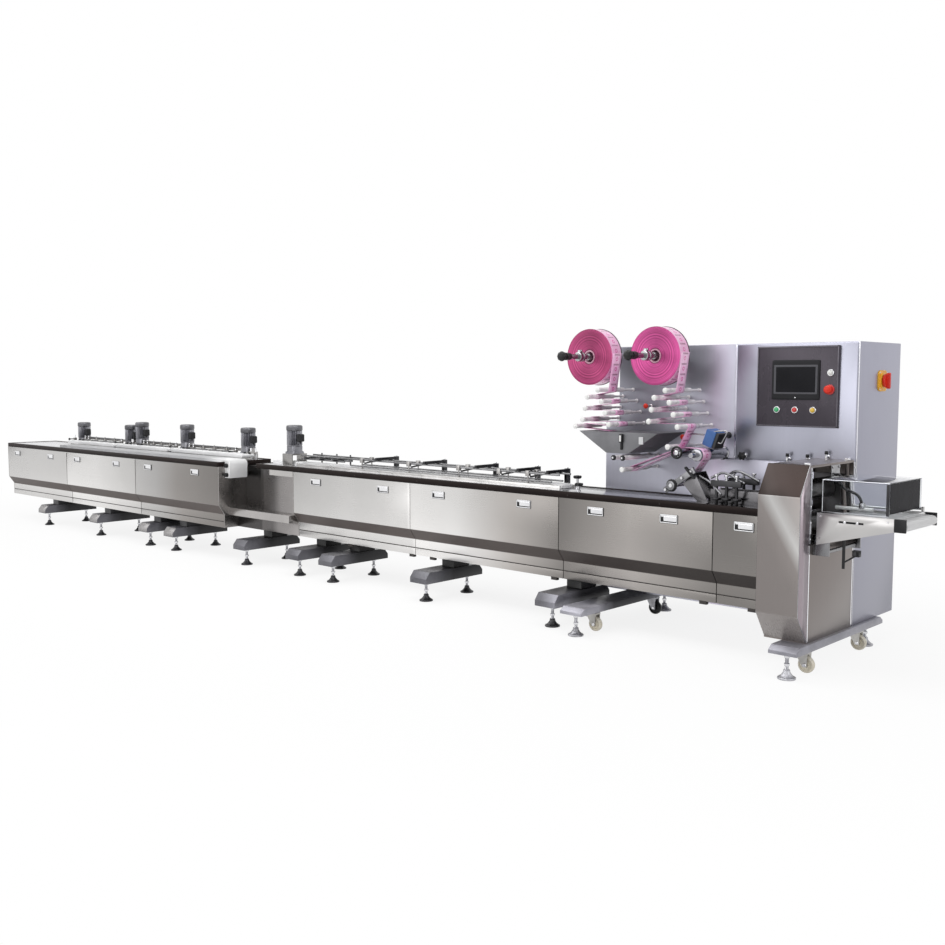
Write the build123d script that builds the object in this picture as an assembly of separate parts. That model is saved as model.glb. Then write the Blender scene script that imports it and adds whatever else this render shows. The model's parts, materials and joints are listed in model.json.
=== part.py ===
"""Horizontal flow wrapper with a long feeder, a transfer recess, an infeed table and an outfeed.

Millimetres. +X is the way the product travels, +Y is away from the operator, Z = 0 is the floor.
Every size below is written once; the functions place each piece from these names.
"""
import math
import os

from build123d import *

# Lengths along the line
FEED_PANEL = 1300.0         # one side panel of the feeder
FEED_PANELS = 3
RECESS_LENGTH = 800.0       # open transfer between feeder and infeed table
INFEED_PANEL = 1285.0       # each of the two long infeed panels
HEAD_PANEL = 1040.0         # panel under the film head
SEAL_PANEL = 365.0          # short panel before the sealing guard
GUARD_LENGTH = 225.0        # stainless cover over the sealing jaws
OUTFEED_REACH = 457.0       # outfeed tip beyond the cabinet's right face
FEED_LENGTH = FEED_PANEL * FEED_PANELS
INFEED_LENGTH = 2 * INFEED_PANEL + HEAD_PANEL + SEAL_PANEL
LINE_LENGTH = FEED_LENGTH + RECESS_LENGTH + INFEED_LENGTH + GUARD_LENGTH + OUTFEED_REACH
LEFT_X = -LINE_LENGTH / 2
FEED_END = LEFT_X + FEED_LENGTH
INFEED_X = FEED_END + RECESS_LENGTH
GUARD_X = INFEED_X + INFEED_LENGTH
CAB_X = GUARD_X + GUARD_LENGTH
TIP_X = CAB_X + OUTFEED_REACH

# Depths, front to back
NOSE_REACH = 420.0          # beam noses ahead of the product line
INFEED_WIDTH = 350.0
CAB_GAP = 54.0              # infeed table to cabinet front
CAB_DEPTH = 541.0
FEED_LEAD = 134.0           # feeder front ahead of the infeed front
FEED_WIDTH = 520.0
GUARD_REACH = 380.0
GUARD_DEPTH = 97.0
PRODUCT_Y = (NOSE_REACH - (INFEED_WIDTH / 2 + CAB_GAP + CAB_DEPTH)) / 2
FRONT_Y = PRODUCT_Y - NOSE_REACH
INFEED_FRONT = PRODUCT_Y - INFEED_WIDTH / 2
INFEED_BACK = PRODUCT_Y + INFEED_WIDTH / 2
CAB_FRONT = INFEED_BACK + CAB_GAP
CAB_BACK = CAB_FRONT + CAB_DEPTH
FEED_FRONT = INFEED_FRONT - FEED_LEAD
FEED_BACK = FEED_FRONT + FEED_WIDTH
GUARD_FRONT = PRODUCT_Y - GUARD_REACH
GUARD_BACK = GUARD_FRONT + GUARD_DEPTH

# Conveyor section, heights above the floor
TABLE_TOP = 792.0
TRIM_HEIGHT = 38.0
TRIM_WIDTH = 22.0
TRIM_PROUD = 4.0
TRIM_CORNER = 18.0
PLATE_DROP = 4.0            # table plate below the rim of the trim
SKIRT_BOTTOM = 257.0
SKIRT_HEIGHT = 110.0
FOLD_HEIGHT = 74.0
SKIRT_INSET = 50.0
GROOVE = 6.0
SKIN = 8.0
PANEL_GAP = 4.0
PANEL_TOP = TABLE_TOP - TRIM_HEIGHT
PLATE_TOP = TABLE_TOP - PLATE_DROP
FOLD_BOTTOM = SKIRT_BOTTOM + SKIRT_HEIGHT
FOLD_TOP = FOLD_BOTTOM + FOLD_HEIGHT

# Latches
LATCH_LENGTH = 116.0
LATCH_HEIGHT = 50.0
LATCH_PROUD = 5.0
LATCH_DROP = 62.0           # latch centre below the panel top
LATCH_FIRST = 215.0         # feeder: from the left joint
LATCH_LAST = 337.0          # feeder: from the right joint
LATCH_INFEED = 272.0        # infeed: from either joint

# Base
BEAM_BOTTOM = 125.0
BEAM_HEIGHT = 40.0          # under the wrapper
LONG_BEAM_HEIGHT = 76.0     # under the feeder and the infeed table
BEAM_WIDTH = 150.0
BEAM_LENGTH = 540.0
BEAM_LEAD = 46.0            # beam nose ahead of the feeder front
BEAM_BEVEL = 34.0
POST_LENGTH = 110.0
FOOT_INSET = 75.0
WRAP_FOOT_INSET = 52.0
FOOT_R = 45.0
STEM_R = 10.0
BEAM_TOP = BEAM_BOTTOM + BEAM_HEIGHT
BEAM_FRONT = FEED_FRONT - BEAM_LEAD

# Feeder top
LOW_BELT_INSET = 60.0       # front edge of the low belt behind the feeder front
LOW_BELT_WIDTH = 170.0
LOW_BELT_LENGTH = 2850.0
LOW_BELT_T = 22.0
NOSE_OVERHANG = 73.0        # belt nose beyond the feeder end
NOSE_DROP = 125.0
BELT_SPACE = 20.0           # between the low belt and the raised stages
STAGE_INSET = 150.0         # stages ahead of the feeder back, with the motors behind them
STAGE_BED = 24.0
STAGE_BELT = 28.0
STAGE_TOP = PLATE_TOP + STAGE_BED + STAGE_BELT
LOW_BELT_Y0 = FEED_FRONT + LOW_BELT_INSET
LOW_BELT_Y1 = LOW_BELT_Y0 + LOW_BELT_WIDTH
STAGE_Y0 = LOW_BELT_Y1 + BELT_SPACE
STAGE_Y1 = FEED_BACK - STAGE_INSET
MOTOR_R = 61.0
MOTOR_HEIGHT = 222.0
BRACKET_T = 6.0             # upright beside each feeder motor
UPRIGHT_RISE = 92.0
RAIL_DROP = 30.0            # link rails between the uprights, below their tops
BRIDGE_CLEAR = 50.0         # infeed motor bridge above the belt that it spans
BRIDGE_SIDE = 14.0
BRIDGE_T = 10.0
BRIDGE_LENGTH = 120.0

# Infeed top
TABLE_LEAD = 317.0          # table edge beyond the feeder end, over the recess
INFEED_BELT_WIDTH = 100.0
INFEED_BELT_T = 28.0
RAIL_RISE = 84.0            # guide rails above the table plate
RAIL_R = 6.0
RAIL_SPREAD = 110.0

# Wrapper cabinet
DOOR_WIDTH = 693.0
FILM_PLATE_LENGTH = 792.0
CAB_STEP = 95.0             # lower part of the cabinet beyond the film plate
CAB_SKIN = 12.0
SEAM_RISE = 214.0           # seam of the front plates above the table
SEAM_GAP = 6.0
PANEL_WIDTH = 464.0
PANEL_HEIGHT = 431.0
PANEL_T = 14.0
PANEL_RIGHT = 98.0          # control panel from the cabinet's right face
PANEL_UNDER = 18.0          # control panel below the cabinet top
SCREEN_WIDTH = 272.0
SCREEN_HEIGHT = 211.0
BUTTON_R = 14.0
DOOR_X = CAB_X - DOOR_WIDTH
CAB_LEFT = DOOR_X - FILM_PLATE_LENGTH
HEAD_X = CAB_LEFT - CAB_STEP

# Film path
REEL_R = 164.0
REEL_WIDTH = 95.0
REEL_CORE_R = 40.0
REEL_OVERHANG = 25.0        # left reel axis beyond the film plate edge
REEL_PITCH = 457.0
REEL_RISE = 28.0            # reel bottom above the axis of the top roller
MANDREL_R = 15.0
FLANGE_PROUD = 3.0          # rear flange beyond the film roll
MANDREL_REACH = 325.0       # knob end ahead of the product line
ROLLER_R = 13.0
ROLLER_LENGTH = 250.0
ROLLER_CAP = 12.0
STACK_PITCH = 66.0
STACK_ROWS = 4
STACK_LEAN_RIGHT = 27.0     # each right-hand roller is this far inside the one below
STACK_LEAN_LEFT = 17.0
BRACKET_RISE = 234.0        # bracket underside above the table
BRACKET_HEIGHT = 123.0
BRACKET_REACH = 55.0        # bracket front ahead of the product line
DRUM_R = 34.0
DRUM_RISE = 248.0
WEB_T = 1.2
WEB_W = 84.0
WEB_SPACE = 0.5             # web above the roller surface
CAB_RISE = 64.0             # cabinet top above the reel axes
BRACKET_Z = TABLE_TOP + BRACKET_RISE
STACK_Z = BRACKET_Z + BRACKET_HEIGHT + 45.0
REEL_Z = STACK_Z + (STACK_ROWS - 1) * STACK_PITCH + REEL_RISE + REEL_R
CAB_TOP = REEL_Z + CAB_RISE
REEL_LEFT_X = CAB_LEFT - REEL_OVERHANG
REEL_RIGHT_X = REEL_LEFT_X + REEL_PITCH
DRUM_X = REEL_RIGHT_X + 283.0
DRUM_Z = TABLE_TOP + DRUM_RISE

# End seal and outfeed
JAW_R = 58.0
PACK_SPACE = 50.0           # open height between the jaws
OUT_WIDTH = 390.0
OUT_PLATE = 10.0
OUT_GAP = 24.0              # outfeed plates beyond the cabinet's right face
OUT_RISE = 20.0             # side plates above the table
END_BLOCK = 60.0            # dark blocks that close the tip of the side plates
GUARD_SHEET = 5.0
GUARD_HEIGHT = 158.0
HINGE_R = 5.0
OUT_X0 = CAB_X + OUT_GAP
OUT_FRONT = GUARD_BACK + 28.0
OUT_BACK = OUT_FRONT + OUT_WIDTH
OUT_TOP = TABLE_TOP + OUT_RISE

# Casters
CASTER_INSET = 200.0
WHEEL_R = 42.0
WHEEL_W = 28.0
WHEEL_LIFT = 5.0            # wheel above the floor while the feet carry the machine
TRAIL = 30.0
AXLE_R = 8.0
CASTER_PLATE = 8.0

# Moving clearances
GAP = 5.0                   # open air between moving and fixed pieces
RUN = 0.08                  # radial running clearance of a shaft in its bore

NODES = {}


def add(name, *solids):
    """Keep the solids of one named sub-part for export."""
    NODES.setdefault(name, []).extend(solids)


def block(x0, x1, y0, y1, z0, z1):
    """Box between two corners."""
    return Pos((x0 + x1) / 2, (y0 + y1) / 2, (z0 + z1) / 2) * Box(x1 - x0, y1 - y0, z1 - z0)


def bar(origin, along, r, length, sides=0):
    """Round bar, or one with so many flats, from a point along an axis."""
    side = (0, 1, 0) if along == (1, 0, 0) else (1, 0, 0)
    section = RegularPolygon(r, sides) if sides else Circle(r)
    return extrude(Plane(origin=origin, x_dir=side, z_dir=along) * section, length)


def rod_x(y, z, r, x0, x1, sides=0):
    """Bar along X."""
    return bar((x0, y, z), (1, 0, 0), r, x1 - x0, sides)


def rod_y(x, z, r, y0, y1, sides=0):
    """Bar along Y."""
    return bar((x, y0, z), (0, 1, 0), r, y1 - y0, sides)


def rod_z(x, y, r, z0, z1, sides=0):
    """Bar along Z."""
    return bar((x, y, z0), (0, 0, 1), r, z1 - z0, sides)


def prism_x(points, x0, x1):
    """Polygon of (y, z) points drawn out along X."""
    face = make_face(Polyline(*[(x0, y, z) for y, z in points], close=True))
    return extrude(face, amount=x1 - x0, dir=(1, 0, 0))


def prism_y(points, y0, y1):
    """Polygon of (x, z) points drawn out along Y."""
    face = make_face(Polyline(*[(x, y0, z) for x, z in points], close=True))
    return extrude(face, amount=y1 - y0, dir=(0, 1, 0))


def strip_xz(p, q, width, y0, y1):
    """Flat bar from p to q in the XZ plane, with a width and a thickness along Y."""
    dx, dz = q[0] - p[0], q[1] - p[1]
    n = math.hypot(dx, dz)
    ox, oz = -dz / n * width / 2, dx / n * width / 2
    return prism_y([(p[0] + ox, p[1] + oz), (q[0] + ox, q[1] + oz),
                    (q[0] - ox, q[1] - oz), (p[0] - ox, p[1] - oz)], y0, y1)


def lobed(r, lobes, depth):
    """Outline of a ribbed or lobed round piece: every second point lies inside by depth."""
    pts = []
    for i in range(2 * lobes):
        a = math.pi * i / lobes
        ring = r if i % 2 == 0 else r - depth
        pts.append((ring * math.cos(a), ring * math.sin(a)))
    return make_face(Polyline(*pts, close=True))


def star_knob_z(x, y, r, z0, z1):
    """Lobed grip with its axis along Z."""
    return extrude(Pos(x, y, z0) * lobed(r, 6, r * 0.28), z1 - z0)


def star_knob_y(x, z, r, y0, y1):
    """Lobed grip with its axis along Y."""
    return extrude(Plane(origin=(x, y0, z), x_dir=(1, 0, 0), z_dir=(0, 1, 0)) * lobed(r, 6, r * 0.28), y1 - y0)


def loop_outline(x0, x1, z0, z1):
    """Side view of a belt loop: straight runs with half-round ends."""
    r = (z1 - z0) / 2
    ends = [(x0 + r, math.pi / 2), (x1 - r, -math.pi / 2)]
    return [(x + r * math.cos(a + math.pi * i / 6), z0 + r + r * math.sin(a + math.pi * i / 6))
            for x, a in ends for i in range(7)]


def side_profile(edge, sign, inset):
    """Folded side of a conveyor as (y, z) points from the top down, moved inwards by inset."""
    upper, lower = edge + sign * inset, edge + sign * (inset + SKIRT_INSET)
    return [(upper, PANEL_TOP), (upper, FOLD_TOP), (lower, FOLD_BOTTOM), (lower, SKIRT_BOTTOM)]


def conveyor_section(front, back, inset):
    """Closed (y, z) outline of a conveyor body."""
    return side_profile(front, 1, inset) + side_profile(back, -1, inset)[::-1]


def side_panels(edge, sign, joints):
    """One folded sheet between each pair of joints, with an open line between neighbours."""
    sheets = []
    for x0, x1 in zip(joints[:-1], joints[1:]):
        outline = side_profile(edge, sign, 0) + side_profile(edge, sign, SKIN)[::-1]
        sheet = prism_x(outline, x0 + PANEL_GAP / 2, x1 - PANEL_GAP / 2)
        y = edge + sign * (SKIRT_INSET + GROOVE / 4)
        z = SKIRT_BOTTOM + SKIRT_HEIGHT * 0.45
        groove = block(x0, x1, y - GROOVE / 4, y + GROOVE / 4, z - GROOVE / 2, z + GROOVE / 2)
        sheets.append(sheet - groove)
    return sheets


def table(x0, x1, front, back):
    """Dark edge strip with rounded corners, and the steel plate lying inside it."""
    rim = block(x0, x1, front - TRIM_PROUD, back + TRIM_PROUD, PANEL_TOP, TABLE_TOP)
    rim = fillet(rim.edges().filter_by(Axis.Z), TRIM_CORNER)
    inside = (x0 + TRIM_WIDTH, x1 - TRIM_WIDTH, front + TRIM_WIDTH, back - TRIM_WIDTH)
    add("edge_trim", rim - block(*inside, PANEL_TOP - 1, TABLE_TOP + 1))
    add("table_plates", block(*inside, PANEL_TOP, PLATE_TOP))


def latch(x, front):
    """Flush pull latch on a front panel, with a finger pocket."""
    z = PANEL_TOP - LATCH_DROP
    w, h = LATCH_LENGTH / 2, LATCH_HEIGHT / 2
    plate = block(x - w, x + w, front - LATCH_PROUD, front, z - h, z + h)
    return plate - block(x - w / 2, x + w * 0.8, front - LATCH_PROUD - 1, front - LATCH_PROUD / 2,
                         z - h * 0.6, z + h * 0.6)


def feeder():
    """Left conveyor: core with its end sheets, folded panels, latches and table."""
    core = prism_x(conveyor_section(FEED_FRONT, FEED_BACK, SKIN), LEFT_X + SKIN, FEED_END - SKIN)
    ends = conveyor_section(FEED_FRONT, FEED_BACK, 0)
    add("conveyor_cores", core + prism_x(ends, LEFT_X, LEFT_X + SKIN) + prism_x(ends, FEED_END - SKIN, FEED_END))
    inner = FEED_LENGTH - 2 * SKIN
    joints = [LEFT_X + SKIN + inner * i / FEED_PANELS for i in range(FEED_PANELS + 1)]
    add("front_panels", *side_panels(FEED_FRONT, 1, joints))
    add("rear_panels", *side_panels(FEED_BACK, -1, joints))
    for x0, x1 in zip(joints[:-1], joints[1:]):
        add("panel_latches", latch(x0 + LATCH_FIRST, FEED_FRONT), latch(x1 - LATCH_LAST, FEED_FRONT))
    table(LEFT_X, FEED_END, FEED_FRONT, FEED_BACK)


def infeed():
    """Right conveyor: core with its end sheet, folded panels, latches and table."""
    core = prism_x(conveyor_section(INFEED_FRONT, INFEED_BACK, SKIN), INFEED_X, GUARD_X)
    end = prism_x(conveyor_section(INFEED_FRONT, INFEED_BACK, 0), INFEED_X - SKIN, INFEED_X)
    add("conveyor_cores", core + end)
    joints = [INFEED_X]
    for length in (INFEED_PANEL, INFEED_PANEL, HEAD_PANEL, SEAL_PANEL):
        joints.append(joints[-1] + length)
    add("front_panels", *side_panels(INFEED_FRONT, 1, joints))
    add("rear_panels", *side_panels(INFEED_BACK, -1, joints))
    for x0, x1 in zip(joints[:-2], joints[1:-1]):
        add("panel_latches", latch(x0 + LATCH_INFEED, INFEED_FRONT), latch(x1 - LATCH_INFEED, INFEED_FRONT))
    add("panel_latches", latch((joints[-2] + joints[-1]) / 2, INFEED_FRONT))
    table(FEED_END + TABLE_LEAD, GUARD_X, INFEED_FRONT, INFEED_BACK)
    add("table_plates", block(HEAD_X, GUARD_X, INFEED_BACK + TRIM_PROUD, CAB_FRONT, PANEL_TOP, PLATE_TOP))


def transfer():
    """Recess between feeder and infeed: set-back housing under the table edge, with a tray."""
    x1 = INFEED_X - SKIN
    face, tray_z = INFEED_FRONT + 70, FOLD_TOP - 21
    step = FEED_END + TABLE_LEAD - 27
    housing = block(FEED_END, x1, INFEED_FRONT + SKIRT_INSET, INFEED_BACK, SKIRT_BOTTOM, tray_z - 40)
    housing += block(FEED_END, step, face + 60, INFEED_BACK, tray_z - 40, PANEL_TOP)
    housing += block(step, x1, face, INFEED_BACK, tray_z - 40, PANEL_TOP)
    add("transfer_housing", housing)
    lip = INFEED_FRONT - 40
    tray = block(FEED_END, x1, lip, face, tray_z - SKIN, tray_z)
    tray += block(FEED_END, x1, lip, lip + SKIN, tray_z - 60, tray_z - SKIN)
    tray += block(FEED_END, step, face, face + 60, tray_z - SKIN, tray_z)
    rear = INFEED_FRONT + SKIRT_INSET
    add("transfer_tray", tray + prism_x([(lip, tray_z - SKIN), (rear, tray_z - SKIN), (rear, tray_z - 60),
                                         (lip, tray_z - 60)], x1 - 60, x1))


def motor(x, y, z):
    """Upright geared motor: flange, gear case, ribbed stator and fan cowl."""
    w = MOTOR_R - 6
    unit = block(x - w, x + w, y - w, y + w, z, z + 12)
    unit += block(x - w + 8, x + w - 8, y - w + 8, y + w - 8, z + 12, z + 60)
    unit += extrude(Pos(x, y, z + 60) * lobed(MOTOR_R, 14, 8), MOTOR_HEIGHT - 94)
    return unit + rod_z(x, y, MOTOR_R + 3, z + MOTOR_HEIGHT - 34, z + MOTOR_HEIGHT, 20)


def seat_motor(x, y, z):
    """Motor with its terminal box on the downstream side, its foot at height z."""
    add("geared_motors", motor(x, y, z))
    side = x + MOTOR_R
    add("terminal_boxes", block(side, side + 34, y - 26, y + 26, z + 94, z + 154))


def motor_bridge(x, y0, y1, belt_top):
    """Motor on a three-sided bridge that stands on the table plate and spans a belt."""
    h = BRIDGE_LENGTH / 2
    deck = belt_top + BRIDGE_CLEAR
    bridge = block(x - h, x + h, y0 - BRIDGE_SIDE - BRIDGE_T, y1 + BRIDGE_SIDE + BRIDGE_T, deck, deck + BRIDGE_T)
    for y in (y0 - BRIDGE_SIDE - BRIDGE_T, y1 + BRIDGE_SIDE):
        bridge += block(x - h, x + h, y, y + BRIDGE_T, PLATE_TOP, deck)
    add("motor_bridges", bridge)
    seat_motor(x, (y0 + y1) / 2, deck + BRIDGE_T)


def feeder_top():
    """Low belt with its nose, raised belt stages, motors on bridges and the rails between them."""
    tip = FEED_END + NOSE_OVERHANG
    top, bottom = PLATE_TOP + LOW_BELT_T, PLATE_TOP - NOSE_DROP
    x0, rim = FEED_END - LOW_BELT_LENGTH, FEED_END - TRIM_WIDTH
    low = prism_y([(x0, PLATE_TOP), (x0 + 8, top), (tip - 40, top), (tip - 18, top - 6), (tip - 5, top - 20),
                   (tip, top - 38), (tip - 8, bottom), (FEED_END + 1, bottom), (FEED_END + 1, TABLE_TOP + 1),
                   (rim - 1, TABLE_TOP + 1), (rim - 1, PLATE_TOP)], LOW_BELT_Y0, LOW_BELT_Y1)
    add("conveyor_belts", low)
    for z in (PLATE_TOP - 24, bottom + 26):
        for y in (LOW_BELT_Y0 - 24, LOW_BELT_Y1):
            add("nose_roller_ends", rod_y(FEED_END + NOSE_OVERHANG / 2, z, 17, y, y + 24, 16))
    stages = [(-3060, -2130), (-2112, -1180), (-1120, -28)]
    for a, b in stages:
        bed = (FEED_END + a, FEED_END + b)
        add("belt_frames", block(bed[0] + 30, bed[1] - 30, STAGE_Y0 + 12, STAGE_Y1 - 12,
                                 PLATE_TOP, PLATE_TOP + STAGE_BED))
        add("conveyor_belts", prism_y(loop_outline(*bed, PLATE_TOP + STAGE_BED, STAGE_TOP), STAGE_Y0, STAGE_Y1))
    spots = [FEED_END - d for d in (3066, 2118, 1918, 1134, 197)]
    y, h = FEED_BACK - TRIM_WIDTH - 7 - MOTOR_R, MOTOR_R + 1
    top = PLATE_TOP + UPRIGHT_RISE
    for x, seat in zip(spots, (8, 8, 40, 40, 40)):
        bracket = block(x - h - BRACKET_T, x + h + BRACKET_T, y - 49, y + 49, PLATE_TOP, PLATE_TOP + seat)
        for edge in (x - h - BRACKET_T, x + h):
            bracket += block(edge, edge + BRACKET_T, y - 30, y + 30, PLATE_TOP + seat, top)
        add("motor_bridges", bracket)
        seat_motor(x, y, PLATE_TOP + seat)
    reach = h + BRACKET_T
    for a, b in zip(spots[:-1], spots[1:]):
        add("belt_frames", block(a + reach, b - reach, y - 14, y + 14, top - RAIL_DROP, top - RAIL_DROP + 22))


def infeed_top():
    """White belt bed, side strips, guide rails on cranked posts, one motor and the adjusting knobs."""
    x0, x1 = FEED_END + TABLE_LEAD + 60, HEAD_X - 120
    half = INFEED_BELT_WIDTH / 2
    belt_top = PLATE_TOP + INFEED_BELT_T
    add("conveyor_belts", prism_y(loop_outline(x0, x1, PLATE_TOP, belt_top), PRODUCT_Y - half, PRODUCT_Y + half))
    motor_x = INFEED_X - 205
    motor_bridge(motor_x, PRODUCT_Y - half, PRODUCT_Y + half, belt_top)
    for y in (PRODUCT_Y - half - 28, PRODUCT_Y + half + 18):
        add("belt_frames", block(motor_x + BRIDGE_LENGTH, x1, y, y + 10, PLATE_TOP, PLATE_TOP + 20))
    rail_z = PLATE_TOP + RAIL_RISE
    for s in (-1, 1):
        add("infeed_rails", rod_x(PRODUCT_Y + s * RAIL_SPREAD / 2, rail_z, RAIL_R, HEAD_X - 2220, HEAD_X - 140))
    y = INFEED_BACK - 50
    for d in (1790, 1300, 820, 460, 220):
        x = HEAD_X - d
        post = block(x - 14, x + 14, y - 14, y + 14, PLATE_TOP, rail_z + RAIL_R + 20)
        arm = block(x - 9, x + 9, PRODUCT_Y - RAIL_SPREAD / 2 - 20, y, rail_z + RAIL_R, rail_z + RAIL_R + 18)
        add("infeed_posts", post + arm)
    for x, y, rise in ((HEAD_X - 60, PRODUCT_Y + 20, 64), (HEAD_X + 20, PRODUCT_Y - 70, 30)):
        z = PLATE_TOP + rise
        add("hand_knobs", rod_z(x, y, 9, PLATE_TOP, z, 12) + star_knob_z(x, y, 28, z, z + 20))


def beam(x, y0, y1, height):
    """Cross beam with bevelled noses."""
    low, top = BEAM_BOTTOM + height * 0.45, BEAM_BOTTOM + height
    return prism_x([(y0, BEAM_BOTTOM), (y0, low), (y0 + BEAM_BEVEL, top), (y1 - BEAM_BEVEL, top),
                    (y1, low), (y1, BEAM_BOTTOM)], x - BEAM_WIDTH / 2, x + BEAM_WIDTH / 2)


def foot(x, y):
    """Levelling foot: floor disc, cone, threaded stem and lock nut."""
    disc = rod_z(x, y, FOOT_R, 0, 10, 12)
    cone = loft([Pos(x, y, 10) * RegularPolygon(FOOT_R, 12), Pos(x, y, 38) * RegularPolygon(STEM_R, 12)])
    stem = rod_z(x, y, STEM_R, 38, BEAM_BOTTOM - 22, 12)
    return disc + cone + stem + rod_z(x, y, STEM_R + 7, BEAM_BOTTOM - 22, BEAM_BOTTOM, 6)


WRAP_BEAM_XS = (HEAD_X + 235.0, CAB_X - 55.0)
WRAP_BEAM_BACK = CAB_BACK - 175.0
CASTER_YS = (FRONT_Y + CASTER_INSET, WRAP_BEAM_BACK - CASTER_INSET)


def base():
    """Cross beams with pedestals under the conveyors, caster plates under the wrapper, and the feet."""
    spots = [(FEED_END - d, FEED_FRONT, FEED_BACK) for d in (3061, 2005, 1120, 701)]
    spots += [(x, INFEED_FRONT, INFEED_BACK) for x in (INFEED_X - 471, INFEED_X + 204, INFEED_X + 590,
                                                      INFEED_X + 1548, HEAD_X - 6)]
    back = BEAM_FRONT + BEAM_LENGTH
    for x, front, rear in spots:
        h = POST_LENGTH / 2
        post = block(x - h, x + h, front + 2 * SKIRT_INSET, min(rear - 2 * SKIRT_INSET, back - 60),
                     BEAM_BOTTOM + LONG_BEAM_HEIGHT, SKIRT_BOTTOM)
        add("cross_beams", beam(x, BEAM_FRONT, back, LONG_BEAM_HEIGHT) + post)
        add("levelling_feet", foot(x, BEAM_FRONT + FOOT_INSET), foot(x, back - FOOT_INSET))
    for x in WRAP_BEAM_XS:
        cross = beam(x, FRONT_Y, WRAP_BEAM_BACK, BEAM_HEIGHT)
        for y in CASTER_YS:
            cross += block(x - 38, x + 38, y - 38, y + 38, BEAM_BOTTOM - CASTER_PLATE, BEAM_BOTTOM)
            cross -= rod_z(x, y, AXLE_R + RUN, BEAM_BOTTOM - CASTER_PLATE - 1, BEAM_BOTTOM - 1)
        add("cross_beams", cross)
        add("levelling_feet", foot(x, FRONT_Y + WRAP_FOOT_INSET), foot(x, WRAP_BEAM_BACK - WRAP_FOOT_INSET))


def casters():
    """Four swivel casters under the wrapper beams; their wheels hang just clear of the floor."""
    axle_z = WHEEL_LIFT + WHEEL_R
    half = WHEEL_W / 2 + GAP
    crown = BEAM_BOTTOM - CASTER_PLATE - GAP
    tags = ("front_left", "rear_left", "front_right", "rear_right")
    for tag, (x, y) in zip(tags, [(x, y) for x in WRAP_BEAM_XS for y in CASTER_YS]):
        hub = x + TRAIL
        fork = rod_z(x, y, AXLE_R, crown, BEAM_BOTTOM - 3)
        fork += block(x - 24, hub + 16, y - half - 5, y + half + 5, crown - 8, crown)
        for edge in (y - half - 5, y + half):
            fork += prism_y([(x - 22, crown - 8), (hub + 14, crown - 8), (hub + 12, axle_z - 10),
                             (hub - 12, axle_z - 10)], edge, edge + 5)
        add("caster_fork_" + tag, fork + rod_y(hub, axle_z, AXLE_R, y - half - 5, y + half + 5))
        wheel = rod_y(hub, axle_z, WHEEL_R, y - WHEEL_W / 2, y + WHEEL_W / 2, 32)
        add("caster_wheel_" + tag, wheel - rod_y(hub, axle_z, AXLE_R + RUN, y - WHEEL_W, y + WHEEL_W))


SHOULDER_Z = BRACKET_Z + BRACKET_HEIGHT + 51.0


def cabinet():
    """Upright cabinet: solid housing, front plates, door, control panel and isolator."""
    skin = CAB_FRONT + CAB_SKIN
    seam = TABLE_TOP + SEAM_RISE
    add("cabinet_shell", block(CAB_LEFT, CAB_X, skin, CAB_BACK, BEAM_TOP, CAB_TOP)
        + block(HEAD_X, CAB_LEFT, skin, CAB_BACK, BEAM_TOP, SHOULDER_Z))
    plate = block(CAB_LEFT, DOOR_X - SEAM_GAP, CAB_FRONT, skin, seam + SEAM_GAP, CAB_TOP)
    plate += block(HEAD_X, CAB_LEFT, CAB_FRONT, skin, seam + SEAM_GAP, SHOULDER_Z)
    plate += block(REEL_LEFT_X - 60, CAB_LEFT, CAB_FRONT, skin, REEL_Z - 70, REEL_Z + 54)
    add("film_plates", plate, block(HEAD_X, CAB_X - SEAM_GAP, CAB_FRONT, skin, BEAM_TOP, seam))
    add("cabinet_door", block(DOOR_X, CAB_X - SEAM_GAP, CAB_FRONT, skin, seam + SEAM_GAP, CAB_TOP - 4))

    x1, z1 = CAB_X - PANEL_RIGHT, CAB_TOP - PANEL_UNDER
    face = CAB_FRONT - PANEL_T
    add("control_panel", block(x1 - PANEL_WIDTH, x1, face, CAB_FRONT, z1 - PANEL_HEIGHT, z1))
    sx, sz = x1 - 101, z1 - 75
    screen = block(sx - SCREEN_WIDTH, sx, face - 7, face, sz - SCREEN_HEIGHT, sz)
    add("touch_screen", screen - block(sx - SCREEN_WIDTH + 14, sx - 14, face - 8, face - 5,
                                       sz - SCREEN_HEIGHT + 14, sz - 14))
    for dx, dz in ((343, 340), (239, 340), (137, 340), (44, 143)):
        add("push_buttons", rod_y(x1 - dx, z1 - dz, BUTTON_R, face - 14, face, 20))
    stop_x, stop_z = x1 - 47, z1 - 231
    add("emergency_stop", rod_y(stop_x, stop_z, 12, face - 20, face, 16)
        + rod_y(stop_x, stop_z, 21, face - 36, face - 20))

    y, z, pad_t = CAB_BACK - 245, CAB_TOP - 203, 12.0
    pad = block(CAB_X, CAB_X + pad_t, y - 57, y + 57, z - 57, z + 57)
    add("isolator_base", pad - rod_x(y, z, AXLE_R + RUN, CAB_X + 4, CAB_X + pad_t + 1))
    back = CAB_X + pad_t + GAP
    grip = rod_x(y, z, AXLE_R, CAB_X + 6, back) + rod_x(y, z, 36, back, back + 12)
    add("isolator_handle", grip + block(back + 12, back + 30, y - 9, y + 9, z - 42, z + 42))


def stack(reel_x, first, foot_x):
    """Idler positions under one reel as (x, z, side), from the top down.

    Two columns lean towards each other as they rise. Side -1 has the web on the right, +1 on the left."""
    spots = []
    for k in reversed(range(STACK_ROWS)):
        right = (reel_x + first - STACK_LEAN_RIGHT * k, STACK_Z + STACK_PITCH * k, -1)
        left = (reel_x + foot_x + STACK_LEAN_LEFT * k, STACK_Z + STACK_PITCH * (k - 0.62), 1)
        spots += [right, left] if k else [right]
    return spots


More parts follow.
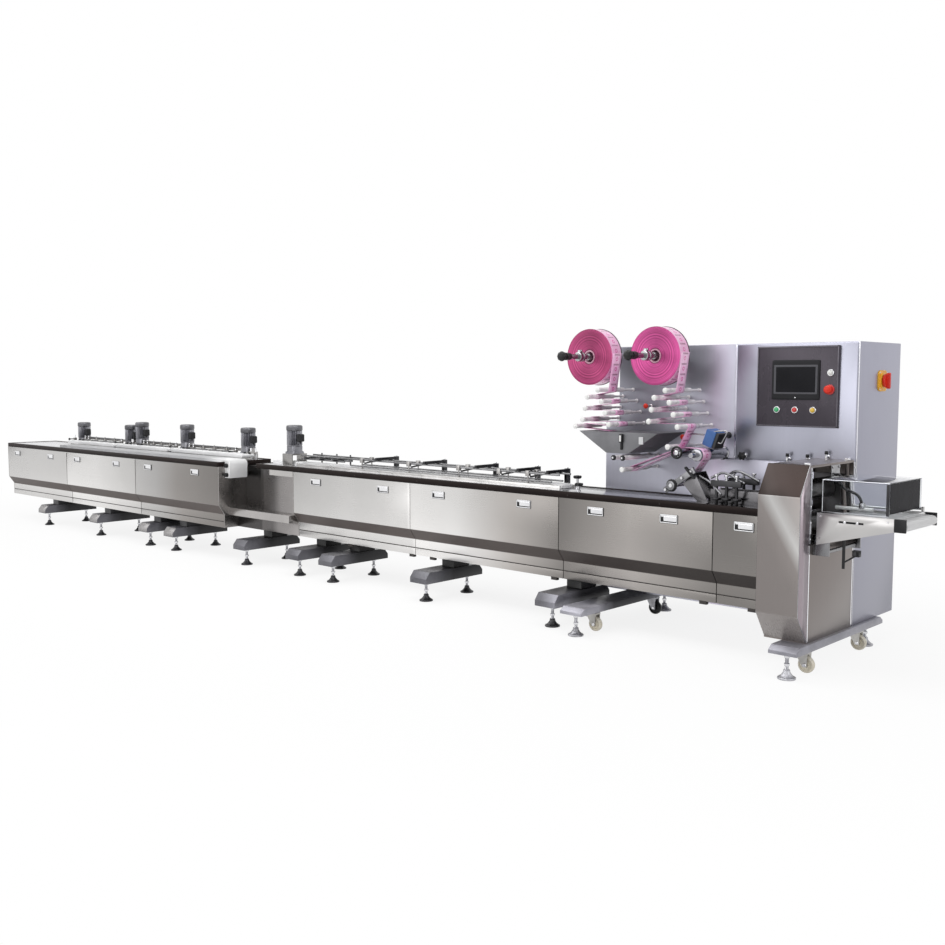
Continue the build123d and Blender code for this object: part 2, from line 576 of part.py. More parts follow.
LEFT_STACK = stack(REEL_LEFT_X, 206.0, 1.0)
RIGHT_STACK = stack(REEL_RIGHT_X, 206.0, 3.0)
SPLICE_ROLLER = (REEL_LEFT_X - 33.0, BRACKET_Z + BRACKET_HEIGHT + 30.0, 1)
TURN_ROLLER = (REEL_RIGHT_X + 146.0, DRUM_Z + 42.0, -1)
LOW_ROLLER = (REEL_RIGHT_X - 155.0, DRUM_Z - 100.0, 1)
PINCH_ROLLERS = ((REEL_LEFT_X + 242.0, BRACKET_Z - 20.0), (REEL_LEFT_X + 305.0, BRACKET_Z - 20.0))
DRIVE_X, DRIVE_Z, DRIVE_R = DRUM_X - 85.0, DRUM_Z + 14.0, 22.0
SHOULDER_LOW = (DRUM_X - 80.0, TABLE_TOP + 88.0)
SHOULDER_HIGH = (DRUM_X - 6.0, TABLE_TOP + 153.0)


def web_path(start, rollers, end):
    """Points of a web that runs straight between rollers and turns on them.

    Each roller is (x, z, radius, side) and the ends have radius 0. A straight run has direction t with
    sin(angle from centre line to t) = (side2 r2 - side1 r1) / distance, and touches each roller at
    centre - side * radius * normal. A turn has enough steps for its chords to stay clear of the roller."""
    stops = [(*start, 0.0, 1)] + list(rollers) + [(*end, 0.0, 1)]
    runs = []
    for (x1, z1, r1, s1), (x2, z2, r2, s2) in zip(stops[:-1], stops[1:]):
        line = math.atan2(z2 - z1, x2 - x1)
        runs.append(line - math.asin((s2 * r2 - s1 * r1) / math.hypot(x2 - x1, z2 - z1)))
    points = [start]
    for (x, z, r, s), t0, t1 in zip(stops[1:-1], runs[:-1], runs[1:]):
        turn = (s * (t1 - t0)) % (2 * math.pi)
        steps = max(2, math.ceil(turn / (2 * math.acos(1 - 0.6 * WEB_SPACE / r))))
        for k in range(steps + 1):
            t = t0 + s * turn * k / steps
            points.append((x + s * r * math.sin(t), z - s * r * math.cos(t)))
    return points + [end]


def ribbon(path, y0, y1):
    """Thin sheet of WEB_T following a path of (x, z) points."""
    left, right = [], []
    for i, (x, z) in enumerate(path):
        a, b = path[max(i - 1, 0)], path[min(i + 1, len(path) - 1)]
        n = math.hypot(b[0] - a[0], b[1] - a[1])
        ox, oz = -(b[1] - a[1]) / n * WEB_T / 2, (b[0] - a[0]) / n * WEB_T / 2
        left.append((x + ox, z + oz))
        right.append((x - ox, z - oz))
    return prism_y(left + right[::-1], y0, y1)


def reel(x, side):
    """Film roll on a mandrel with a rear flange, a front clamp and a knob, in a hub on the plate."""
    y0, y1 = PRODUCT_Y - REEL_WIDTH / 2, PRODUCT_Y + REEL_WIDTH / 2
    roll = rod_y(x, REEL_Z, REEL_R, y0, y1) - rod_y(x, REEL_Z, REEL_CORE_R, y0 - 1, y1 + 1)
    add("film_reel_" + side, roll)
    tip = PRODUCT_Y - MANDREL_REACH
    mandrel = rod_y(x, REEL_Z, MANDREL_R, tip + 40, CAB_FRONT - GAP)
    mandrel += rod_y(x, REEL_Z, REEL_CORE_R, y0 + 5, y1, 32)
    mandrel += rod_y(x, REEL_Z, REEL_R + FLANGE_PROUD, y1, y1 + 4, 64)
    mandrel += rod_y(x, REEL_Z, MANDREL_R + 13, y0 - 112, y0 - 62, 12)
    mandrel += block(x - 10, x + 10, y0 - 100, y0 - 74, REEL_Z, REEL_Z + 40)
    add("reel_mandrel_" + side, mandrel + star_knob_y(x, REEL_Z, 29, tip, tip + 40))
    hub = rod_y(x, REEL_Z, MANDREL_R + 25, CAB_FRONT - 46, CAB_FRONT, 24)
    add("plate_fittings", hub - rod_y(x, REEL_Z, MANDREL_R + RUN, CAB_FRONT - 60, CAB_FRONT + 1))


def film_unwind():
    """Two reels, the idler stacks, the splice bracket and the threaded web."""
    reel(REEL_LEFT_X, "left")
    reel(REEL_RIGHT_X, "right")
    y0, y1 = PRODUCT_Y - ROLLER_LENGTH / 2, PRODUCT_Y + ROLLER_LENGTH / 2
    idlers = LEFT_STACK + RIGHT_STACK + [SPLICE_ROLLER, TURN_ROLLER, LOW_ROLLER] + list(PINCH_ROLLERS)
    for x, z, *side in idlers:
        add("idler_rollers", rod_y(x, z, ROLLER_R, y0, y1, 24) + rod_y(x, z, 7, y1, CAB_FRONT, 6))
        add("idler_caps", rod_y(x, z, ROLLER_R + 3, y0 - ROLLER_CAP, y0, 16))
    z0, z1 = BRACKET_Z, BRACKET_Z + BRACKET_HEIGHT
    front = PRODUCT_Y - BRACKET_REACH
    x = REEL_LEFT_X
    add("web_bracket", prism_y([(x - 64, z1), (x + 135, z0), (x + 290, z0), (x + 491, z1)], front, CAB_FRONT))
    add("clamp_levers", block(x + 238, x + 258, front - 22, front, z0 + 22, z1 - 9))
    r = ROLLER_R + WEB_SPACE + WEB_T / 2
    w0, w1 = PRODUCT_Y - WEB_W / 2, PRODUCT_Y + WEB_W / 2
    leave = REEL_R + GAP + 2
    spare = [(x, z, r, s) for x, z, s in LEFT_STACK + [SPLICE_ROLLER]]
    add("film_web", ribbon(web_path((REEL_LEFT_X + leave, REEL_Z + 20), spare, (x + 150, z1 + 3)), w0, w1))
    running = [(x, z, r, s) for x, z, s in RIGHT_STACK + [TURN_ROLLER, LOW_ROLLER]]
    running += [(DRIVE_X, DRIVE_Z, DRIVE_R + WEB_SPACE + WEB_T / 2, -1),
                (DRUM_X, DRUM_Z, DRUM_R + WEB_SPACE + WEB_T / 2, -1)]
    end = ((SHOULDER_LOW[0] + SHOULDER_HIGH[0]) / 2 + 6, (SHOULDER_LOW[1] + SHOULDER_HIGH[1]) / 2 + 12)
    add("film_web", ribbon(web_path((REEL_RIGHT_X + leave, REEL_Z + 20), running, end), w0, w1))


def wrapper_head():
    """Film drive, date coder, swing arm, forming box, fin seal and the small fittings on the plates."""
    front = PRODUCT_Y - BRACKET_REACH
    drum = rod_y(DRUM_X, DRUM_Z, DRUM_R, front, CAB_FRONT)
    add("film_drive_rollers", drum + rod_y(DRUM_X, DRUM_Z, 14, front - 60, front, 16))
    add("film_drive_rollers", rod_y(DRIVE_X, DRIVE_Z, DRIVE_R, front - 54, CAB_FRONT))
    wheel = rod_y(DRIVE_X, DRIVE_Z, 36, front - 74, front - 54, 32)
    add("hand_knobs", wheel - rod_y(DRIVE_X, DRIVE_Z, 26, front - 75, front - 66, 24))
    top = DRUM_Z + DRUM_R
    coder = Pos(DRUM_X + 35, PRODUCT_Y + 60, top + 56) * Rot(0, 12, 0) * Box(74, 110, 84)
    add("date_coder", coder + rod_y(DRUM_X + 35, top + 66, 11, PRODUCT_Y + 113, CAB_FRONT, 12))
    arm_y = front - 32
    arm = strip_xz((DRUM_X - 180, TABLE_TOP + 44), (DRUM_X + 5, TABLE_TOP + 170), 34, arm_y, arm_y + 14)
    hub = rod_y(DRUM_X - 133, TABLE_TOP + 76, 26, arm_y - 16, arm_y, 20)
    pivot = rod_y(DRUM_X - 133, TABLE_TOP + 76, 12, arm_y + 14, CAB_FRONT, 12)
    add("swing_arm", arm + hub + pivot)
    add("clamp_levers", strip_xz((DRUM_X - 45, TABLE_TOP + 183), (DRUM_X + 15, TABLE_TOP + 123), 14,
                                 arm_y - 14, arm_y))

    half, wall = 60.0, 4.0
    shoulder = strip_xz(SHOULDER_LOW, SHOULDER_HIGH, wall, PRODUCT_Y - half, PRODUCT_Y + half)
    for y in (PRODUCT_Y - half, PRODUCT_Y + half - wall):
        shoulder += prism_y([SHOULDER_LOW, SHOULDER_HIGH, (DRUM_X + 80, PLATE_TOP), (DRUM_X + 13, PLATE_TOP)],
                            y, y + wall)
    add("forming_box", shoulder)
    end = GUARD_X - TRIM_WIDTH - GAP
    for y in (PRODUCT_Y - half + 8, PRODUCT_Y + half - 8 - wall):
        add("forming_box", block(DRUM_X + 90, end, y, y + wall, PLATE_TOP, PLATE_TOP + 74))
    for s in (-1, 1):
        y = PRODUCT_Y + s * 92
        head = block(DRUM_X + 120, DRUM_X + 300, y - 13, y + 13, PLATE_TOP + 96, PLATE_TOP + 128)
        for dx in (150, 210, 270):
            head += rod_z(DRUM_X + dx, y, 9, PLATE_TOP, PLATE_TOP + 96, 8)
            head += rod_z(DRUM_X + dx, y, 25, PLATE_TOP + 22, PLATE_TOP + 36, 24)
        add("fin_seal_wheels", head)

    add("hand_knobs", rod_y(DOOR_X + 61, DRUM_Z - 10, 10, CAB_FRONT - 26, CAB_FRONT, 12)
        + star_knob_y(DOOR_X + 61, DRUM_Z - 10, 26, CAB_FRONT - 48, CAB_FRONT - 26))
    for dx, dz in ((364, -14), (250, -14), (145, 8)):
        add("plate_fittings", rod_y(CAB_X - dx, DRUM_Z + dz, 9, CAB_FRONT - 40, CAB_FRONT, 8))


def end_seal():
    """Stainless front cover, end housing, open jaw head, dark cheeks, guide columns and the pair of sealing jaws."""
    add("end_seal_guard", prism_x([(GUARD_BACK, TABLE_TOP + 251), (GUARD_FRONT, TABLE_TOP + 100),
                                   (GUARD_FRONT, SKIRT_BOTTOM + 53), (GUARD_BACK, BEAM_TOP + 5)], GUARD_X, CAB_X))
    lower, upper = TABLE_TOP - 4 - JAW_R, TABLE_TOP + PACK_SPACE + JAW_R
    floor, roof, right = lower - JAW_R - 22, upper + JAW_R + 7, CAB_X - 8
    add("end_housing", block(GUARD_X, CAB_X, GUARD_BACK, CAB_FRONT, BEAM_TOP, floor))
    head = block(GUARD_X, right, GUARD_BACK, CAB_FRONT, roof + 60, roof + 72)
    head += block(GUARD_X, GUARD_X + 10, GUARD_BACK, CAB_FRONT, roof, roof + 60)
    for y in (GUARD_BACK, CAB_FRONT - 10):
        head += block(GUARD_X + 10, right, y, y + 10, roof, roof + 60)
    for y in (GUARD_BACK + 28, CAB_FRONT - 28):
        head += rod_z(right - 24, y, 11, floor, roof + 66, 20)
    add("end_housing", head)
    cheek = 8.0
    for y in (GUARD_BACK, CAB_FRONT - cheek):
        add("jaw_cheeks", block(GUARD_X, right, y, y + cheek, floor, roof))
    x = GUARD_X + GUARD_LENGTH * 0.47
    for z, s in ((lower, 1), (upper, -1)):
        jaw = rod_y(x, z, JAW_R - 8, GUARD_BACK + 30, CAB_FRONT - 30, 24)
        jaw += rod_y(x, z, 16, GUARD_BACK + cheek, CAB_FRONT - cheek, 12)
        edge = z + s * JAW_R
        jaw += block(x - 9, x + 9, PRODUCT_Y - 80, PRODUCT_Y + 80, min(z, edge), max(z, edge))
        add("sealing_jaws", jaw)


def outfeed():
    """Side plates, belt, clear lifting guard on its hinge rod, pusher arm, braces and sensor bracket."""
    x1 = TIP_X - END_BLOCK
    shape = [(OUT_X0, TABLE_TOP - 138), (OUT_X0, OUT_TOP), (x1, OUT_TOP), (x1, TABLE_TOP - 42)]
    y0, y1 = OUT_FRONT + OUT_PLATE, OUT_BACK - OUT_PLATE
    slot = block(OUT_X0 + 110, OUT_X0 + 230, OUT_FRONT - 1, y0 + 1, TABLE_TOP - 22, TABLE_TOP - 12)
    add("outfeed_side_plates", prism_y(shape, OUT_FRONT, y0) - slot)
    add("conveyor_belts", prism_y(loop_outline(OUT_X0 + 10, TIP_X, TABLE_TOP - 40, TABLE_TOP + 8), y0, y1))

    hinge_y, hinge_z = OUT_BACK - OUT_PLATE / 2, OUT_TOP + 14
    g0, g1 = OUT_X0 + 8, TIP_X - 68
    rear = prism_y(shape, y1, OUT_BACK) + rod_x(hinge_y, hinge_z, HINGE_R, g0, g1)
    for x in (g0, g1 - 10):
        rear += block(x, x + 10, hinge_y - 8, hinge_y + 8, OUT_TOP, hinge_z + 9)
    add("outfeed_side_plates", rear)
    top, k0, k1 = OUT_TOP + GAP + GUARD_HEIGHT, g0 + 10 + GAP + 1, g1 - 10 - GAP - 1
    back = hinge_y + GUARD_SHEET / 2
    guard = block(k0, k1, hinge_y - GUARD_SHEET / 2, back, hinge_z, top)
    guard += block(k0, k1, OUT_FRONT, OUT_FRONT + GUARD_SHEET, OUT_TOP + GAP + 1, top)
    guard += block(k0, k1, OUT_FRONT, back, top - GUARD_SHEET, top)
    guard += rod_x(hinge_y, hinge_z, HINGE_R + 3, k0, k1)
    add("outfeed_guard", guard - rod_x(hinge_y, hinge_z, HINGE_R + RUN, k0 - 1, k1 + 1))

    for y in (OUT_FRONT, y1):
        add("nose_roller_ends", block(x1, TIP_X - 5, y, y + OUT_PLATE, TABLE_TOP - 42, OUT_TOP))
    low = TABLE_TOP - 192
    brace = rod_y(OUT_X0 + 36, low + 18, 10, y0 + 6, y1 - 6, 16)
    for y in (y0, y1 - 12):
        brace += block(CAB_X, OUT_X0 + 60, y, y + 12, low, low + 100)
    add("outfeed_brace", brace)
    bar_z, arm_y = TABLE_TOP + 31, PRODUCT_Y - 7
    bends = [(CAB_X - 8, bar_z + 152), (CAB_X + 20, bar_z + 152), (CAB_X + 50, bar_z + 96),
             (CAB_X + 120, bar_z + 62), (CAB_X + 140, bar_z + 9)]
    arm = strip_xz(bends[0], bends[1], 14, arm_y, arm_y + 14)
    arm += rod_x(PRODUCT_Y, bar_z, 9, CAB_X + 10, CAB_X + 189, 16)
    for p, q in zip(bends[1:-1], bends[2:]):
        arm += strip_xz(p, q, 14, arm_y, arm_y + 14) + rod_y(p[0], p[1], 7, arm_y, arm_y + 14, 12)
    bridge = block(CAB_X - 8, CAB_X - 2, arm_y - 40, arm_y + 54, bar_z + 142, bar_z + 204)
    add("hold_down_arm", arm - block(CAB_X - 20, CAB_X - 8, arm_y, arm_y + 14, bar_z, bar_z + 200) + bridge)
    sx = OUT_X0 + 130
    hanger = block(sx, sx + 14, OUT_FRONT + 2, OUT_FRONT + 8, TABLE_TOP - 240, TABLE_TOP - 80)
    hanger += strip_xz((sx + 7, TABLE_TOP - 210), (sx + 84, TABLE_TOP - 160), 8, OUT_FRONT + 2, OUT_FRONT + 8)
    hanger += block(sx + 50, sx + 84, OUT_FRONT, OUT_FRONT + 24, TABLE_TOP - 176, TABLE_TOP - 146)
    add("sensor_bracket", hanger - prism_y(shape, OUT_FRONT, y0))


for build in (feeder, feeder_top, transfer, infeed, infeed_top, base, casters, cabinet, film_unwind,
              wrapper_head, end_seal, outfeed):
    build()

os.makedirs("parts", exist_ok=True)
for node, solids in NODES.items():
    shape = solids[0] if len(solids) == 1 else Compound(children=solids)
    export_step(shape, "parts/" + node + ".step")
print(len(NODES), "nodes")
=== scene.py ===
import json
import math

import bmesh
import bpy
import numpy as np
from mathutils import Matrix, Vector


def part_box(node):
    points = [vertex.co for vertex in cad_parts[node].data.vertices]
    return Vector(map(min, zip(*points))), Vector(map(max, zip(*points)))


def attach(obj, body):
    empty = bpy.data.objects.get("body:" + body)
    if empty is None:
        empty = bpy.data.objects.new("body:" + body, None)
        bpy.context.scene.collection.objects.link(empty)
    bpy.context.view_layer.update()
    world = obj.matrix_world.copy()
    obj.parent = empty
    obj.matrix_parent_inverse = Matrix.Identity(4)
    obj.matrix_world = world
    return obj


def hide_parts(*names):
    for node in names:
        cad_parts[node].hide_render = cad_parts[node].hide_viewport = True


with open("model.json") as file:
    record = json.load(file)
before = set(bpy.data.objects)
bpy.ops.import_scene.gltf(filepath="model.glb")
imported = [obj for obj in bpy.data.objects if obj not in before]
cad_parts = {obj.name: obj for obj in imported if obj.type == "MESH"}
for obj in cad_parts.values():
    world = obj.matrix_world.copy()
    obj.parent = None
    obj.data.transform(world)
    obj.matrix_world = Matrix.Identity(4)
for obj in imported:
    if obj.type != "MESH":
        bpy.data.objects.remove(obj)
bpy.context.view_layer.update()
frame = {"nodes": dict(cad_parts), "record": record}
scene = bpy.context.scene
scene.view_settings.view_transform = "Standard"

# Camera: the line runs away to the left from its outfeed end, seen a little above the table
# from the operator's side. The frame is square.
lens = bpy.data.cameras.new("camera")
lens.sensor_width, lens.lens, lens.clip_end = 36.0, 40.55, 200.0
camera = bpy.data.objects.new("camera", lens)
camera.location = (6.5238, -5.2932, 1.4500)
camera.rotation_euler = (math.radians(90.0 - 4.975), 0.0, math.radians(43.154))
scene.collection.objects.link(camera)
scene.camera = camera


# Studio: a pale floor that turns white away from the machine, a white surround and large soft
# lamps over and in front of the line.
def wired(tree, kind, feeds=(), **traits):
    """New shader node in a tree. Traits are its settings; feeds pair an input with its socket or value."""
    node = tree.nodes.new("ShaderNode" + kind)
    for trait, value in traits.items():
        setattr(node, trait, value)
    for label, value in dict(feeds).items():
        if isinstance(value, bpy.types.NodeSocket):
            tree.links.new(value, node.inputs[label])
        else:
            node.inputs[label].default_value = value
    return node


def sum_up(tree, operation, *values, clamp=False):
    """Result of one Math node on sockets or numbers."""
    return wired(tree, "Math", enumerate(values), operation=operation, use_clamp=clamp).outputs[0]


def seen_rays(tree):
    """1 for rays from the camera, off gloss or through glass, 0 for the rays that light things."""
    path = wired(tree, "LightPath").outputs
    direct = sum_up(tree, "ADD", path["Is Camera Ray"], path["Is Glossy Ray"], clamp=True)
    return sum_up(tree, "ADD", direct, path["Is Transmission Ray"], clamp=True)


world = bpy.data.worlds.new("white_surround")
scene.world = world
world.use_nodes = True
tree = world.node_tree
tree.nodes.clear()
fill, shown = (wired(tree, "Background", {"Color": (1, 1, 1, 1), "Strength": power}).outputs[0]
               for power in (0.40, 1.0))
mix = wired(tree, "MixShader", {0: seen_rays(tree), 1: fill, 2: shown})
wired(tree, "OutputWorld", {0: mix.outputs[0]})

floor_mesh = bpy.data.meshes.new("studio_floor")
floor_reach, floor_drop = 40.0, -0.001
corners = [(x, y, floor_drop) for x in (-floor_reach, floor_reach) for y in (-floor_reach, floor_reach)]
floor_mesh.from_pydata(corners, [], [(0, 2, 3, 1)])
floor = bpy.data.objects.new("studio_floor", floor_mesh)
scene.collection.objects.link(floor)
pale_floor = bpy.data.materials.new("pale_floor")
pale_floor.use_nodes = True
tree = pale_floor.node_tree
paper = tree.nodes["Principled BSDF"]
for label, value in (("Base Color", (0.93, 0.93, 0.93, 1)), ("Roughness", 0.9), ("Specular IOR Level", 0.0)):
    paper.inputs[label].default_value = value
place = wired(tree, "TexCoord").outputs["Object"]
flat = wired(tree, "Mapping", {"Vector": place, "Scale": (1 / 7.5, 1 / 3.6, 0.0)}).outputs[0]
reach = wired(tree, "VectorMath", {0: flat}, operation="LENGTH").outputs["Value"]
fade = wired(tree, "MapRange", {"Value": reach, "From Min": 0.30, "From Max": 1.0, "To Min": 0.84, "To Max": 1.0},
             interpolation_type="SMOOTHSTEP").outputs[0]
both = sum_up(tree, "MULTIPLY", seen_rays(tree), fade)
mix = wired(tree, "MixShader", {0: both, 1: paper.outputs[0], 2: wired(tree, "Emission").outputs[0]})
tree.links.new(mix.outputs[0], tree.nodes["Material Output"].inputs["Surface"])
floor_mesh.materials.append(pale_floor)


def softbox(name, place, aim, size, watts):
    """Rectangular area lamp at a place, turned so that its axis points at aim."""
    lamp = bpy.data.lights.new(name, "AREA")
    lamp.shape, lamp.size, lamp.size_y, lamp.energy = "RECTANGLE", size[0], size[1], watts
    holder = bpy.data.objects.new(name, lamp)
    holder.location = place
    direction = np.array(aim) - np.array(place)
    across = math.hypot(direction[0], direction[1])
    holder.rotation_euler = (math.atan2(across, -direction[2]), 0.0, math.atan2(-direction[0], direction[1]))
    scene.collection.objects.link(holder)


softbox("overhead", (0.0, -1.5, 5.0), (0.0, 0.0, 0.0), (11.0, 3.0), 260.0)
softbox("front", (-1.0, -8.0, 3.4), (0.0, 0.0, 0.7), (9.0, 3.0), 150.0)
softbox("right", (9.5, -1.0, 3.0), (4.0, 0.0, 0.9), (3.0, 3.0), 60.0)


# Levelling feet: a dark pressed cone on the floor, a plated threaded stem standing in it and a hexagon
# nut locked against the beam. Two stand under each beam.
def shader_group(name, inputs, outputs):
    """Empty shader group with named sockets: inputs as (label, type, value), outputs as labels."""
    tree = bpy.data.node_groups.new(name, "ShaderNodeTree")
    for label, kind, value in inputs:
        tree.interface.new_socket(label, in_out="INPUT", socket_type=kind).default_value = value
    for label in outputs:
        tree.interface.new_socket(label, in_out="OUTPUT", socket_type="NodeSocketFloat")
    return tree, tree.nodes.new("NodeGroupInput"), tree.nodes.new("NodeGroupOutput")


grain_group, group_in, group_out = shader_group(
    "drawn_grain", [("Vector", "NodeSocketVector", (0, 0, 0)), ("Lines", "NodeSocketVector", (5, 400, 400))], ["Grain"])
stretch = wired(grain_group, "VectorMath", {0: group_in.outputs["Vector"], 1: group_in.outputs["Lines"]},
                operation="MULTIPLY").outputs[0]
noise = wired(grain_group, "TexNoise", {"Vector": stretch, "Scale": 1.0, "Detail": 3.0})
grain_group.links.new(noise.outputs["Fac"], group_out.inputs["Grain"])

smudge_group, group_in, group_out = shader_group(
    "hand_smudges", [("Vector", "NodeSocketVector", (0, 0, 0)), ("Scale", "NodeSocketFloat", 3.0)], ["Smudge"])
noise = wired(smudge_group, "TexNoise", {"Vector": group_in.outputs["Vector"], "Scale": group_in.outputs["Scale"],
                                         "Detail": 5.0, "Roughness": 0.6})
spread = wired(smudge_group, "MapRange", {"Value": noise.outputs["Fac"], "From Min": 0.38, "From Max": 0.68})
smudge_group.links.new(spread.outputs[0], group_out.inputs["Smudge"])


def tuned(made, label, value):
    """Set one input of a finish's shader to a value, or feed it from a socket."""
    slot = made.node_tree.nodes["Principled BSDF"].inputs[label]
    if isinstance(value, bpy.types.NodeSocket):
        made.node_tree.links.new(value, slot)
    else:
        slot.default_value = value
    return made


def source(made, label="Base Color"):
    """Socket that feeds an input of a finish's shader."""
    return made.node_tree.nodes["Principled BSDF"].inputs[label].links[0].from_socket


def mixed(made, factor, a, b, blend="MIX"):
    """Socket of two colours of a finish, the second laid over the first by a factor."""
    return wired(made.node_tree, "Mix", {"Factor": factor, "A": a, "B": b}, data_type="RGBA",
                 blend_type=blend).outputs["Result"]


def finish(name, light, dark, rough, metal, lines, smudge=(2.0, 0.1), bump=0.05, coat=0.0):
    """Principled finish on Object coordinates. Colour = dark + (light - dark) * (0.65 smudge + 0.35 grain),
    roughness = rough + smudge amount * the same mix, bump height = grain. Lines are the grains per metre
    along x, y and z, or one number for all three."""
    made = bpy.data.materials.new(name)
    made.use_nodes = True
    tree = made.node_tree
    place = wired(tree, "TexCoord").outputs["Object"]
    fine = (lines,) * 3 if np.ndim(lines) == 0 else lines
    grain = wired(tree, "Group", {"Vector": place, "Lines": fine}, node_tree=grain_group).outputs["Grain"]
    marks = wired(tree, "Group", {"Vector": place, "Scale": smudge[0]}, node_tree=smudge_group).outputs["Smudge"]
    share = wired(tree, "Mix", {"Factor": 0.35, "A": marks, "B": grain}, data_type="FLOAT").outputs["Result"]
    looks = {"Base Color": mixed(made, share, (*dark, 1), (*light, 1)), "Metallic": metal, "Coat Weight": coat}
    spread = {"Value": share, "To Min": rough, "To Max": rough + smudge[1]}
    looks["Roughness"] = wired(tree, "MapRange", spread).outputs[0]
    looks["Normal"] = wired(tree, "Bump", {"Height": grain, "Strength": bump, "Distance": 0.002}).outputs[0]
    for label, value in looks.items():
        tuned(made, label, value)
    return made


def graded_mask(made, turn, stops):
    """Socket of a ramp of grey values or colours along one direction of the object.
    Place on the ramp = turn . (x, y, z, 1)."""
    tree = made.node_tree
    place = wired(tree, "TexCoord").outputs["Object"]
    dot = wired(tree, "VectorMath", {0: place, 1: turn[:3]}, operation="DOT_PRODUCT").outputs["Value"]
    ramp = wired(tree, "ValToRGB", {"Fac": sum_up(tree, "ADD", dot, turn[3])})
    while len(ramp.color_ramp.elements) < len(stops):
        ramp.color_ramp.elements.new(1.0)
    for element, (position, grey) in zip(ramp.color_ramp.elements, stops):
        element.position = position
        element.color = (grey, grey, grey, 1) if np.ndim(grey) == 0 else (*grey, 1)
    return ramp.outputs["Color"]


def graded(made, turn, stops):
    """Multiply a finish's colour by a ramp along one direction of the object."""
    return tuned(made, "Base Color", mixed(made, 1.0, source(made), graded_mask(made, turn, stops), "MULTIPLY"))


def solids(node):
    """Corner boxes of the separate solids of a CAD node as an array (count, 2, 3), left to right.
    Each vertex takes the least label among its neighbours until nothing changes."""
    mesh = frame["nodes"][node].data
    co = np.empty(len(mesh.vertices) * 3, np.float32)
    mesh.vertices.foreach_get("co", co)
    co = co.reshape(-1, 3)
    merged = np.unique(np.round(co, 5), axis=0, return_inverse=True)[1].ravel()
    ends = np.empty(len(mesh.edges) * 2, np.int32)
    mesh.edges.foreach_get("vertices", ends)
    a, b = merged[ends.reshape(-1, 2)].T
    label, before = np.arange(merged.max() + 1), None
    while before is None or (label != before).any():
        before = label.copy()
        least = np.minimum(label[a], label[b])
        np.minimum.at(label, a, least)
        np.minimum.at(label, b, least)
        label = label[label]
    mine = label[merged]
    boxes = [np.array([co[mine == k].min(0), co[mine == k].max(0)], float) for k in np.unique(mine)]
    return np.array(sorted(boxes, key=lambda box: (round(box[:, 0].mean(), 4), round(box[:, 1].mean(), 4),
                                                   box[:, 2].mean())))


def laid(*values):
    """Points from x, y, z or u, v given as numbers or arrays, each spread over the others."""
    return np.stack(np.broadcast_arrays(*values), -1)


def placed(piece, node, stands):
    """Put a piece into the scene on the body of a CAD node, which it may stand for."""
    scene.collection.objects.link(piece)
    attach(piece, node_body[node])
    if stands:
        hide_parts(node)
    return piece


def shell(name, grids, made, node, stands=False, sharp=40.0, uv=None):
    """One mesh from point grids of shape (..., rows, columns, 3). Neighbouring points make quads, doubles
    are merged so that seams and poles close, and normals are turned outwards. The UV map holds the column
    and row shares, or the values in uv."""
    points, quads, maps, start = [], [], [], 0
    for grid in grids:
        grid = np.asarray(grid, float)
        grid = grid.reshape(-1, *grid.shape[-3:])
        count, rows, columns = grid.shape[:3]
        index = start + np.arange(count * rows * columns).reshape(count, rows, columns)
        corners = [index[:, :-1, :-1], index[:, 1:, :-1], index[:, 1:, 1:], index[:, :-1, 1:]]
        quads.append(np.stack(corners, -1).reshape(-1, 4))
        shares = laid(np.linspace(0, 1, columns), np.linspace(0, 1, rows)[:, None])
        maps.append(np.tile(shares.reshape(-1, 2), (count, 1)))
        points.append(grid.reshape(-1, 3))
        start += count * rows * columns
    points, quads = np.concatenate(points), np.concatenate(quads)
    maps = np.concatenate(maps if uv is None else [np.reshape(part, (-1, 2)) for part in uv])
    mesh = bpy.data.meshes.new(name)
    mesh.from_pydata(points.tolist(), [], quads.tolist())
    mesh.uv_layers.new(name="UVMap").data.foreach_set("uv", maps[quads.ravel()].ravel().astype(np.float32))
    work = bmesh.new()
    work.from_mesh(mesh)
    bmesh.ops.remove_doubles(work, verts=work.verts, dist=2e-6)
    bmesh.ops.dissolve_degenerate(work, dist=1e-7, edges=work.edges)
    bmesh.ops.recalc_face_normals(work, faces=work.faces)
    work.to_mesh(mesh)
    work.free()
    mesh.materials.append(made)
    mesh.polygons.foreach_set("use_smooth", np.ones(len(mesh.polygons), bool))
    mesh.set_sharp_from_angle(angle=math.radians(sharp))
    return placed(bpy.data.objects.new(name, mesh), node, stands)


AXES = {"x": ((0, 1, 0), (0, 0, 1), (1, 0, 0)), "y": ((1, 0, 0), (0, 0, 1), (0, 1, 0)),
        "z": ((1, 0, 0), (0, 1, 0), (0, 0, 1))}


def turned(profile, axis, count=32, lobes=0, depth=0.0):
    """Turned form about an axis through the origin: profile rows are (radius, along).
    Point = radius * wave(angle) * (cos, sin) + along, where wave = 1 - depth * (1 - cos(lobes * angle)) / 2."""
    side, up, along = (np.array(v, float) for v in AXES[axis])
    profile = np.asarray(profile, float)
    angle = np.linspace(0, 2 * np.pi, count + 1)
    wave = 1 - depth * (1 - np.cos(lobes * angle)) / 2
    ring = wave[:, None] * (np.cos(angle)[:, None] * side + np.sin(angle)[:, None] * up)
    return profile[:, 0][:, None, None] * ring[None] + profile[:, 1][:, None, None] * along


def spun(profile, axis, count=32, lobes=0, depth=0.0):
    """Turned form whose two ends close flat on the axis."""
    return turned([(0, profile[0][1]), *profile, (0, profile[-1][1])], axis, count, lobes, depth)


def at(grid, places):
    """Copies of one grid at an array of places."""
    return np.asarray(grid)[None] + np.asarray(places, float).reshape(-1, 3)[:, None, None, :]


